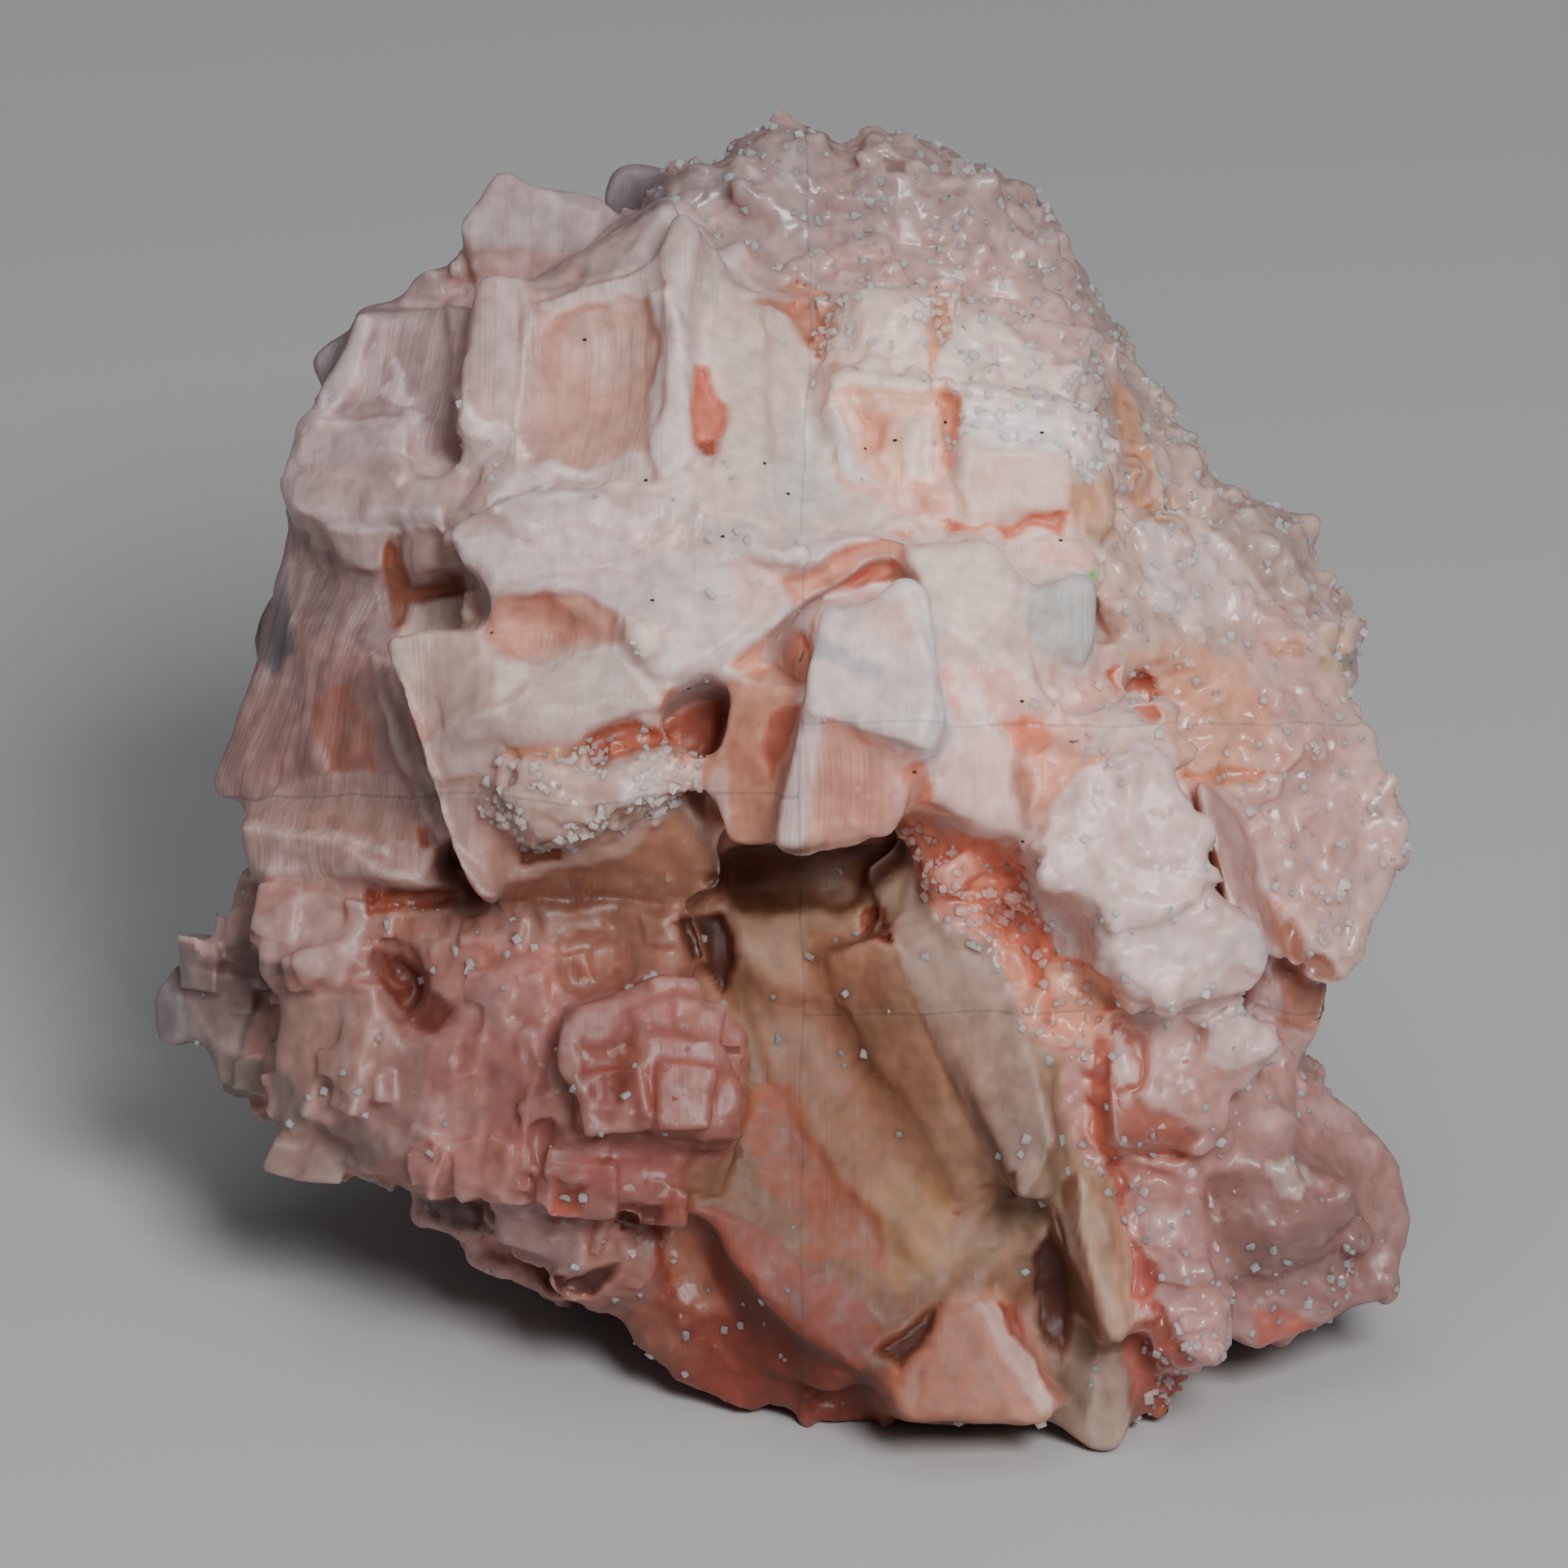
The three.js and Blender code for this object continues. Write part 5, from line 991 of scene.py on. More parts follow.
    blockRowRight=((11.6, 33.5, 15, 36, 20, 33, 22, 30, 19, 28.3, 12, 29, 11.5, 31), 0.4, 0.4, 0.7, "e8d6cc",
        0.4),
    blockGapWarm=((11, 38.3, 13, 38.3, 12.8, 35.6, 11.8, 32, 11.4, 30, 11.2, 33), -0.7, 0.5, 0.4, "d8a084",
        0),
    chamber=((3.4, 29.5, 7, 30.3, 11.5, 30, 13, 28.5, 13, 24, 11, 22.3, 8, 22.5, 5, 26), -0.8, 0.7, 0.3,
        "e6b8a0", 0),
    chamberRight=((11.5, 29.8, 13.2, 29, 13, 25, 12.4, 23.5, 11.9, 26), -1.0, 0.5, 0.3, "ce8a6e", 0),
    chamberLeft=((5.3, 28.5, 7.5, 28, 8, 25.8, 6.4, 25), -0.6, 0.6, 0.4, "d8967a", 0),
    column=((8.6, 28.2, 11, 28.2, 11.4, 23, 9.2, 23.4), 0.5, 0.5, 0.3, "eed4c6", 0.4),
    columnFoot=((2.5, 24, 8.5, 22.6, 13, 22.4, 12.4, 20.2, 8.8, 20.4), 0, 0.8, 0.4, "e2ae98", 0.2),
    whiteBand=((13.5, 28, 16, 28.2, 22, 27.5, 21.8, 25.6, 16.5, 25, 14, 25.6), 0.3, 0.4, 0.8, "f2eae6", 0.3),
    clearBlock=((13.4, 25.4, 21.4, 25.2, 21, 20.6, 14, 20.3, 13, 22.5), 0.5, 0.5, 0.2, "e8c8b6", 0.4),
    blockEdge=((20.5, 31.5, 22.5, 31.8, 23.5, 29, 25.6, 26.5, 25.3, 24.5, 22, 24), 0.4, 0.5, 0.5, "e0cec6",
        0.4),
    tanBlock=((20.6, 23, 24, 23, 24.3, 20, 21, 19.9), 0, 0.6, 0.3, "d2a080", 0.3),
    slit=((11.5, 19.9, 17, 19.8, 21, 20.8, 20.5, 19.2, 17.5, 19.2, 12, 18.9), -0.7, 0.4, 0.4, "d07652", 0),
    # between the blocks and the scales
    paleFacet=((9.8, 18.9, 15.5, 19.6, 17.5, 17, 17, 13.8, 14, 10.5, 11, 12.5, 9.5, 15), 0.5, 0.6, 0.3,
        "e4ccc2", 0.3),
    pinkLoop=((18.4, 18, 20, 18.8, 23.5, 18.5, 23, 16.9, 19.5, 16.6), 0.4, 0.5, 0.3, "e8b8a8", 0.4),
    greyFacet=((17.8, 14.2, 22.3, 16.8, 23.8, 15.2, 24.3, 10.5, 23, 8.5, 19, 12, 17.5, 12.8), 0.3, 0.7, 0.2,
        "b6b6b2", 0.2),
    greenSpot=((22.6, 16.4, 23.4, 16.9, 23.9, 15.2, 23.2, 15), 0, 0.5, 0.2, "54cc4c", 0),
    pinkMiddle=((12, 9, 17, 9, 21, 6.5, 24, 8, 25.5, 6, 22, 2, 18, 4, 15.5, 4.6, 12.3, 6.5), -0.2, 0.8, 0.4,
        "e4b0a0", 0.2),
    salmonFill=((17.5, 3.2, 20.5, 3.6, 23.4, 1.8, 21.6, -1.6, 18.6, -2.4, 17.4, 0), 3.2, 1.6, 0.4, "e49e84",
        0.1),
    salmonSpot=((16, 5, 19, 4.8, 20.5, 3.4, 18.5, 2.2, 16.6, 3.5), -0.3, 0.6, 0.5, "e08a6e", 0),
    amberSpots=((22, 1.8, 24.5, 2.6, 24, 1.2, 21.5, 0.2), -0.2, 0.6, 0.5, "daa07e", 0),
    paleStep=((12.5, 8, 13.2, 9.2, 14.4, 7.6, 15.5, 5, 14.2, 4.2), 0.4, 0.4, 0.4, "ecd4cc", 0.5),
    # the coral-red cleft
    coral=((9.5, -3, 14, -3, 17.8, -5, 18.6, -6.5, 17.3, -8.5, 20, -10.5, 23.5, -13, 25.5, -16, 22, -19.8,
        19.5, -18, 18, -13, 13, -8.5, 10.2, -5.5), -0.8, 0.8, 0.6, "e68c6e", 0),
    coralOrange=((18, -9, 20.5, -10.5, 21, -13, 18.6, -13, 16.5, -11), -0.2, 0.8, 0.6, "e27652", 0),
    coralDeep=((12.2, -5, 15.5, -4, 18.5, -6, 17, -7.8, 14, -7.2), -0.5, 0.6, 0.6, "da5436", 0),
    coralDark=((14, -6.8, 15.2, -6.6, 15, -8, 13.8, -7.8), -0.6, 0.4, 0.4, "c42e12", 0),
    coralPink=((12, -6.5, 14, -5, 15, -6, 13.4, -7.6), 0.4, 0.5, 0.5, "eea28a", 0.2),
    coralPale=((20, -14, 24, -14.5, 26, -16.5, 23, -19.6, 20.3, -19), 0.3, 0.7, 0.5, "f2ae90", 0.2),
    # the scales and the skirt
    brownWeb=((34.9, -6, 38, -9, 42, -13.5, 43, -15.5, 41, -19, 38.7, -18.5, 38, -13), -0.8, 0.8, 0.3,
        "a67664", 0),
    scaleUpper=((24.5, 3, 26, 5.8, 28, 4.5, 30, 1, 27, 0, 25, 1), 0.4, 0.5, 0.4, "e4c0b4", 0.4),
    scale=((20, -2.5, 24, 1.5, 27, 3.5, 30, 0.5, 32.6, -3, 32.8, -5.5, 33.5, -7.5, 34.5, -9.5, 36.5, -10,
        38, -12.5, 37.5, -14.5, 34.5, -14, 32, -16.8, 28, -16.5, 24.5, -15.3, 20.5, -12.5, 19.8, -10,
        18.5, -7.5), 0.9, 0.5, 0.6, "e0c8c4", 0.4),
    scaleStep=((24, -9, 32, -8, 34, -11, 32, -14.5, 27, -15.3, 24, -13), 0.5, 0.5, 0.6, "e8d2ce", 0.3),
    scaleRight=((32, -11, 36.5, -10, 38, -13, 35, -14, 32.4, -14.6), 0.2, 0.5, 0.5, "d4c4c2", 0.3),
    scaleSmall=((31.5, -18.5, 35, -16.3, 38, -18, 37, -21, 34, -22, 31.7, -20.5), 0.8, 0.5, 0.5, "dec6c2",
        0.4),
    skirt=((28, -19, 31.5, -17.5, 32, -21, 37.5, -22, 40, -23, 39.5, -29, 36, -28.5, 32, -27, 28, -24), 0,
        0.8, 0.5, "d0a8a0", 0.2),
    redGroove=((24.5, -19, 28, -19.5, 27.3, -23.5, 31.5, -26, 30.5, -28, 26.5, -27.8, 25, -24), -0.8, 0.7,
        0.7, "b26c5c", 0.2),
    redLine=((23, -20, 24.5, -20, 25.6, -33, 26.6, -39, 25, -39, 24, -30), -0.6, 0.6, 0.6, "c06256", 0),
    whiteGrains=((25, -19.6, 26.6, -20, 26.8, -21.6, 25.4, -22.6, 24.6, -21), 0.5, 0.4, 0.8, "e2c4be", 0.3),
    # the lobe and the slope on the right
    lobePeach=((25.5, 9.5, 30, 11, 35, 9, 37, 4, 36, 1, 30, 0.8, 28.5, 4), -0.2, 1.5, 0.6, "e2ae92", 0),
    lobeVein=((30, 0.9, 34.5, 1.2, 37, 0.9, 36.5, -0.3, 32.5, 0), -0.6, 0.5, 0.4, "cc8a6c", 0),
    amberNotch=((24.5, 8, 26.5, 8.6, 28, 7, 28.4, 5, 27.8, 4.5, 26.5, 6, 25.2, 6.3), -1.4, 0.5, 0.3,
        "b46242", 0),
    lobeWhite=((27, 20, 33, 19.5, 36, 16.5, 37.5, 14, 33, 12.5, 28.5, 13), 0.4, 0.8, 0.8, "e0ccc8", 0.2),
    lobeLow=((37, -1, 44, 0, 48, -3, 48.5, -8, 45.5, -12.5, 42.5, -14.5, 38, -9.5, 35.5, -5), 0.2, 0.8, 0.5,
        "dabcb4", 0.2),
    tanStrip=((24.5, 31, 26.5, 30, 28, 26.5, 29.5, 24, 30.8, 20.5, 27, 20.2, 26.8, 24, 25.4, 28), -0.5, 0.8,
        0.6, "c69676", 0),
    brownSpots=((28.2, 21.2, 30.2, 22.4, 30.6, 20.6, 28.8, 20), -0.8, 0.5, 0.4, "ac7a52", 0),
    greySlope=((33.5, 22.5, 38, 21.5, 41, 17.5, 42, 14.2, 38, 14.5, 34, 18.5, 31.5, 20.5), 0, 1.0, 0.5,
        "ae9e94", 0),
    tanPatch=((36.5, 11.5, 40.4, 12, 40.2, 9.9, 36.5, 9.9), -0.3, 0.6, 0.4, "c69e84", 0),
    tanRim=((40.4, 12.5, 43.5, 12, 44.2, 8.5, 41, 9), 0, 0.8, 0.5, "ceb696", 0),
    # the clay-coloured crystal and its foot
    clay=((-3.5, -9.5, 4.5, -9.3, 8.5, -11, 10.5, -17, 12, -24, 16, -28, 16, -31, 12, -37.5, 7, -34,
        3, -28.5, -0.5, -22.5, -3, -16), 0.2, 0.8, 0.4, "b09078", 0),
    clayWarm=((2, -10.5, 7, -12, 8, -17, 4, -20, 0.5, -15), 0, 1.6, 0.6, "b88c70", 0),
    clayRight=((10, -7, 12.5, -10, 16.5, -13, 18.5, -20, 19.5, -24, 20.5, -26.5, 18, -31.5, 15.5, -28,
        12, -22, 10, -15, 8.8, -11), 0.4, 0.6, 0.3, "aa968a", 0.3),
    clayOlive=((6, -31, 12, -30, 13.5, -36, 9, -38.5, 6, -36), 0, 1.4, 0.6, "b6986e", 0),
    clayOrange=((-1.5, -22, 0.5, -22.5, 3.5, -28.5, 7, -33.5, 7.5, -37, 2, -36, -1, -31, -3, -26), 0, 0.9,
        0.6, "b4744e", 0),
    clayRed=((-9, -31, -2, -33, 1, -36, 6, -38.5, 8, -41.5, 6, -45, 0, -44, -6, -44, -10, -40), 0.2, 0.9,
        0.6, "ac6050", 0),
    clayTan=((-9, -34, -6, -34, -5, -41, -8.5, -40), 0.2, 0.8, 0.6, "b27a62", 0),
    clayTopShade=((-4, -9.5, 4, -9.5, 6, -8, 5.5, -5.5, -4, -5), 0, 1.4, 0.4, "744e32", 0),
    # Painted shade in the crevices, over the red of the salt in the middle one; the darkest is shade alone.
    leftCrevice=((-8.5, -10.2, -4.6, -9.8, -4, -13, -5, -16, -6.4, -14.5), -1.3, 0.7, 0.3, "562818", 0),
    crevice=((5.9, -9.5, 7.8, -9, 9, -11.5, 6.2, -11.3), -0.8, 0.4, 0.3, "983c20", 0),
    creviceShadow=((7.2, -9.2, 8.8, -11.4, 7.4, -11), -1.3, 0.4, 0.2, "1e0602", 0),
    clayEdge=((19.4, -26, 21.2, -27, 21, -29.5, 20, -32.5, 17.5, -33.3, 18.4, -30), 0, 0.5, 0.3, "8e785c",
        0.3),
    redSpeck=((16.6, -28.8, 17.2, -28.8, 17.6, -30.8, 16.9, -30.9), -0.2, 0.3, 0.3, "701410", 0),
    redSpeckLow=((12.4, -31.9, 13.2, -31.9, 13, -33), -0.2, 0.3, 0.3, "7c1c14", 0),
    footShade=((7.5, -42.5, 12, -39, 12, -40.5, 9, -44), -1.0, 0.6, 0.3, "70422a", 0),
    # the plates that stand at the foot
    spikeShade=((20.8, -40, 23.2, -42, 24, -47, 24.6, -50.5, 22.5, -48.5, 20.6, -45), -0.2, 0.5, 0.3,
        "786252", 0),
    # Painted shade in the gap at the foot of the tall plate.
    gapShadow=((18.6, -36, 20.4, -32, 21.2, -34, 21.6, -40, 21, -43.8, 19, -40.8), -1.0, 0.6, 0.3, "583222",
        0),
    layeredPlate=((12, -40, 14.4, -39, 18.5, -46.5, 13, -48.2, 10, -46.5, 11, -43), 0.2, 0.5, 0.3, "d4a08a",
        0.2),
    whiteStripe=((14.4, -38.8, 16, -38.6, 20.8, -46.8, 19, -47.8), 0.2, 0.4, 0.3, "f0dad0", 0.3),
    redStripe=((16, -38.6, 17.4, -39, 18.6, -43, 20.9, -46.4, 20.4, -47), 0.2, 0.4, 0.4, "bc5c54", 0),
    # Painted shade on the tall plate's left side.
    tallPlateShadedSide=((20.6, -29.8, 22, -29, 22.6, -34, 23.4, -42, 21.5, -40), 0, 0.5, 0.2, "704a30", 0),
    tallPlate=((22, -29, 24.5, -30, 25.8, -35, 26, -41.5, 24.2, -42.3, 23.2, -38, 22.4, -33), 0.4, 0.4, 0.3,
        "be9e7e", 0.4),
    spike=((23.4, -43, 26, -43, 26.4, -47, 25.2, -51, 23.2, -51, 22.5, -48), 0, 0.5, 0.3, "a08e7e", 0.2),
    redBack=((25.5, -42, 28.4, -40, 30.5, -44, 30, -46, 28, -49, 25.8, -48), -0.6, 0.6, 0.5, "ac5852", 0),
    crustPlate=((25.6, -33, 26.6, -31.4, 31.5, -32, 33.5, -38, 34, -43, 31.5, -45, 29.5, -42, 27.5, -38),
        0.6, 0.5, 0.8, "d8aea8", 0.3),
    crustWhite=((26.8, -32.5, 30, -31.5, 31, -34, 27.5, -34.3), 0.4, 0.4, 0.8, "ecccc6", 0.3),
    crustPink=((26, -35, 27.6, -36, 28.6, -40, 26.8, -40.5), -0.3, 0.6, 0.7, "c67068", 0),
    fan=((34, -28, 40, -24.5, 45, -25.5, 48.5, -30, 48.8, -34, 47.5, -38.5, 38, -38, 34.5, -36, 33, -31),
        0.2, 0.8, 0.5, "be9692", 0.2),
    fanShade=((32, -29, 35, -28.6, 36, -33, 38, -37, 34.6, -36.4, 32.6, -33), -0.1, 0.8, 0.5, "a88078", 0),
    fanRed=((35.5, -40, 38, -40, 41, -41.5, 38, -43.6, 35.8, -42.5), -0.5, 0.7, 0.6, "c67066", 0),
    fanWhite=((37, -28.5, 39.5, -28.3, 40, -30.5, 37.5, -31), 0.4, 0.4, 0.8, "decac4", 0.3),
    # the crust along the top
    topGrey=((-3.8, 48, -2, 50.5, 2, 50.8, 6, 48.5, 11, 50, 15, 47.5, 17.5, 44, 10, 42, 2, 43, -4, 44), 0,
        1.0, 0.8, "c0aca6", 0),
    smokyTop=((-13.8, 45.5, -12, 48.2, -9.5, 47.3, -8.4, 44.5, -12, 42.8), 0, 0.6, 0.2, "7c7078", 0),
    smokyTopRight=((-8.2, 47.5, -5.2, 48.5, -3.6, 47.5, -4, 45, -7.5, 44.5), 0, 0.6, 0.4, "988686", 0),
    topPink=((0, 41, 8, 41, 14, 40, 20, 38, 24, 36, 23.5, 32, 18, 34, 12, 37, 4, 38), 0, 1.2, 0.8, "d0aea4",
        0),
    dimple=((7.5, 48.5, 9, 48.2, 9, 46.8, 7.6, 47), -0.6, 0.6, 0.4, "8c786e", 0),
    clearGrain=((8.5, 43.5, 9.8, 43.3, 10.2, 42, 8.6, 41.8), 0.4, 0.4, 0.4, "ece2de", 0.3),
    clearGrainRight=((12, 40, 14, 40, 14.2, 38.8, 12.2, 38.8), 0.4, 0.4, 0.4, "f0e8e4", 0.3),
    clearGrainFar=((16.5, 39.2, 18, 38.8, 18.5, 37.6, 17, 37.6), 0.4, 0.4, 0.4, "f0e8e4", 0.3),
)


def reach_inside(across_up, outline):
    """How far each (across, up) lies inside the closed outline, in millimetres, and below 0 outside."""
    away = np.full(len(across_up), 1e9)
    within = np.zeros(len(across_up), dtype=bool)
    x, y = across_up[:, 0], across_up[:, 1]
    for (ax, ay), (bx, by) in zip(outline, np.roll(outline, -1, axis=0)):
        along = ((x - ax) * (bx - ax) + (y - ay) * (by - ay)) / ((bx - ax) ** 2 + (by - ay) ** 2)
        along = np.clip(along, 0, 1)
        away = np.minimum(away, np.hypot(x - ax - along * (bx - ax), y - ay - along * (by - ay)))
        if ay != by:
            crossing = (y < ay) != (y < by)
            within ^= crossing & (x < ax + (y - ay) / (by - ay) * (bx - ax))
    return np.where(within, away, -away)


def sheets_on(points, facing):
    """(rise, tint, cover, rim) that the sheets give each point, where facing is 1 on the best face."""
    rise = np.zeros(len(points))
    tint = np.zeros((len(points), 3))
    cover = np.zeros(len(points))
    rim = np.zeros(len(points))
    wander = [waves(points, 2.4, 251 + k) + 0.5 * waves(points, 0.9, 261 + k) for k in (0, 1)]
    wander = np.stack(wander, axis=1)
    seen = np.nonzero(facing > 0.01)[0]
    flat = points[seen, :2]
    for outline, lift, soft, ragged, colour, rim_highlight in SHEETS.values():
        corners = np.array(outline, dtype=float).reshape(-1, 2)
        near = ((flat > corners.min(axis=0) - 3) & (flat < corners.max(axis=0) + 3)).all(axis=1)
        rows = seen[near]
        depth = reach_inside(points[rows, :2] + ragged * wander[rows], corners)
        share = stepped_share(depth, 0.0, soft * 1.2) * facing[rows]
        paint = stepped_share(depth, 0.0, max(0.7 * soft, 0.35)) * facing[rows]
        rise[rows] += lift * share
        tint[rows] = tint[rows] * (1 - paint[:, None]) + light_of(colour) * paint[:, None]
        cover[rows] = cover[rows] * (1 - paint) + paint
        # The rim is a painted highlight along the sheet's edge.
        rim[rows] = rim[rows] * (1 - paint) + rim_highlight * np.exp(-((depth - 0.25) / 0.32) ** 2) * facing[rows]
    return rise, tint, cover, rim


# ---- the mass, from the part's own solid --------------------------------------------------------

TO_ROOM = np.array(Matrix.Rotation(math.radians(90 - FACE_LEAN), 3, "X"))


def to_room(points):
    """From the best face's frame in millimetres to the room in metres."""
    return (points @ TO_ROOM.T + HEART) / 1000


def to_face(points):
    """From the room in metres to the best face's frame in millimetres."""
    return (points * 1000 - HEART) @ TO_ROOM


def merged_copy(node):
    """The CAD node's own shape with its doubled points merged, on the best face."""
    builder = bmesh.new()
    builder.from_mesh(node.data)
    bmesh.ops.remove_doubles(builder, verts=builder.verts, dist=1e-7)
    copy = bpy.data.meshes.new("copy")
    builder.to_mesh(copy)
    builder.free()
    shape = {"points": to_face(places_of(copy)), "faces": corner_rows(copy)}
    bpy.data.meshes.remove(copy)
    return shape


def openness(points, normals, tree):
    """How much of the sky each point sees: 1 in the open, near 0 in a deep gap."""
    chance = random.Random(5)
    ways = []
    while len(ways) < 16:
        way = np.array([chance.gauss(0, 1) for _ in range(3)])
        ways.append(way / np.linalg.norm(way))
    seen = np.zeros(len(points))
    tried = np.zeros(len(points))
    start = points + normals * 0.5
    for way in ways:
        facing = normals @ way
        way_out = Vector(way)
        for i in np.nonzero(facing > 0.15)[0]:
            hit = tree.ray_cast(Vector(start[i]), way_out, 22.0)
            tried[i] += facing[i]
            if hit[0] is None:
                seen[i] += facing[i]
            else:
                seen[i] += facing[i] * 0.5 * hit[3] / 22.0
    return seen / np.maximum(tried, 1e-6)


def stepped_share(values, middle, soft):
    """0 well below middle, 1 well above it, and smooth over the width soft in between."""
    share = np.clip((values - middle) / soft + 0.5, 0, 1)
    return share * share * (3 - 2 * share)


# The whites of milky crusts, of crumbs, and of the painted highlight along edges.
CRUST_WHITE, CRUMB_WHITE, EDGE_HIGHLIGHT_WHITE = "e8deda", "e2d0c2", "f0e6e4"
# Shares of red, green and blue light: what painted shade takes away in deep gaps and in small corners, and
# what is kept.
PAINTED_SHADE_IN_GAPS = (0.12, 0.26, 0.31)
PAINTED_SHADE_IN_CORNERS = (0.3, 0.46, 0.52)
LEAST_GREEN_AND_BLUE = (0.31, 0.2)
WARMTH = (1.0, 0.93, 0.93)


def coloured(points, colours, looks, seen, edge, sheets, web):
    """The colour of each point: its crystal's, its sheets', with painted shade where little light gets in
    and a painted highlight on edges.
    """
    _, tint, cover, rim = sheets
    light = web.evened(colours, 5) * (1 - cover)[:, None] + tint
    white, amber = (web.evened(looks[key], 6) for key in ("white", "amber"))
    wander = np.stack([waves_in_octaves(points, 2.4, 281 + k) for k in range(3)], axis=1)
    broad = waves_in_octaves(points, 11.0, 231)
    cloud = waves_in_octaves(points + 0.8 * wander, 4.2, 201, 4) + 0.35 * broad
    fine = waves_in_octaves(points, 1.3, 211, 2)
    crust = (stepped_share(cloud + 0.25 * fine, 0.42, 0.35) * white)[:, None]
    pocket = (stepped_share(-cloud + 0.3 * fine, 0.45, 0.4) * amber)[:, None]
    light = light * (1 + 0.08 * broad[:, None] * (1, 0.4, 0.2)) * (1 + 0.06 * fine[:, None])
    light = light * (1 - crust) + (0.45 * light + 0.55 * light_of(CRUST_WHITE)) * crust
    light = light * (1 - pocket * (0.16, 0.38, 0.46))
    clay = web.evened((looks["sparkle"] < 0.1).astype(float), 6)[:, None]
    streaks = waves_in_octaves(points @ turned((0, 0, 27)) * (1, 0.22, 1), 1.3, 421, 3)[:, None]
    specks = stepped_share(waves_in_octaves(points, 1.0, 431, 2), 0.75, 0.5)[:, None] * clay * 0.45
    light = light * (1 + 0.28 * clay * streaks * (1, 1, 1.15)) * (1 + 0.12 * clay * fine[:, None])
    light = light * (1 - specks) + light_of(CRUMB_WHITE) * specks
    # Painted shade: darker where the mass sees little of the sky, in deep gaps.
    deep = np.clip((0.6 - seen) / 0.5, 0, 1)[:, None]
    light = light * (1 - deep * PAINTED_SHADE_IN_GAPS)
    # Painted highlight along convex edges and the sheets' rims, partly also the whiter salt of thin edges.
    bright = np.clip(np.clip((edge - 0.03) / 0.12, 0, 1) * 0.4 + rim, 0, 0.8)[:, None] * 0.6
    light = light * (1 - bright) + (0.4 * light + 0.6 * light_of(EDGE_HIGHLIGHT_WHITE)) * bright
    # Painted shade in concave corners.
    gap = np.clip((-edge - 0.04) / 0.16, 0, 1)[:, None] * 0.35
    light = light * (1 - gap * PAINTED_SHADE_IN_CORNERS)
    light[:, 1:] = np.maximum(light[:, 1:], light[:, :1] * LEAST_GREEN_AND_BLUE)
    # Painted shade and deeper tone over broad patches.
    for middle, sizes, factor in PAINTED_SHADE_AND_TONE:
        x, y = (points[:, 0] - middle[0]) / sizes[0], (points[:, 1] - middle[1]) / sizes[1]
        share = np.exp(-x * x - y * y)[:, None]
        light = light * (1 - share * (1 - np.array(factor)))
    return np.clip(light * WARMTH, 0.005, 0.95)


def make_piece(name, points, faces, normals, tint, finish, lift):
    """A piece of the cluster that rides on the one body and stands for the CAD node."""
    placed = to_room(points)
    placed[:, 2] = np.maximum(placed[:, 2], lift)
    mesh = mesh_from(name, placed, faces)
    mesh.polygons.foreach_set("use_smooth", np.ones(len(faces), dtype=bool))
    colour = mesh.attributes.new("tint", "FLOAT_COLOR", "POINT")
    colour.data.foreach_set("color", np.column_stack([tint, np.ones(len(tint))]).ravel())
    for key, values in finish.items():
        mesh.attributes.new(key, "FLOAT", "POINT").data.foreach_set("value", values)
    mesh.materials.append(salt)
    mesh.normals_split_custom_set_from_vertices((normals @ TO_ROOM.T).tolist())
    riding(name, mesh)


# ---- materials ----------------------------------------------------------------------------------


def node(tree, kind, inputs=(), **settings):
    """A new node of the tree with its settings, and with a value or a link for each of its inputs."""
    made = tree.nodes.new(kind)
    for key, value in settings.items():
        setattr(made, key, value)
    for key, value in dict(inputs).items():
        if isinstance(value, bpy.types.NodeSocket):
            tree.links.new(value, made.inputs[key])
        else:
            made.inputs[key].default_value = value
    return made


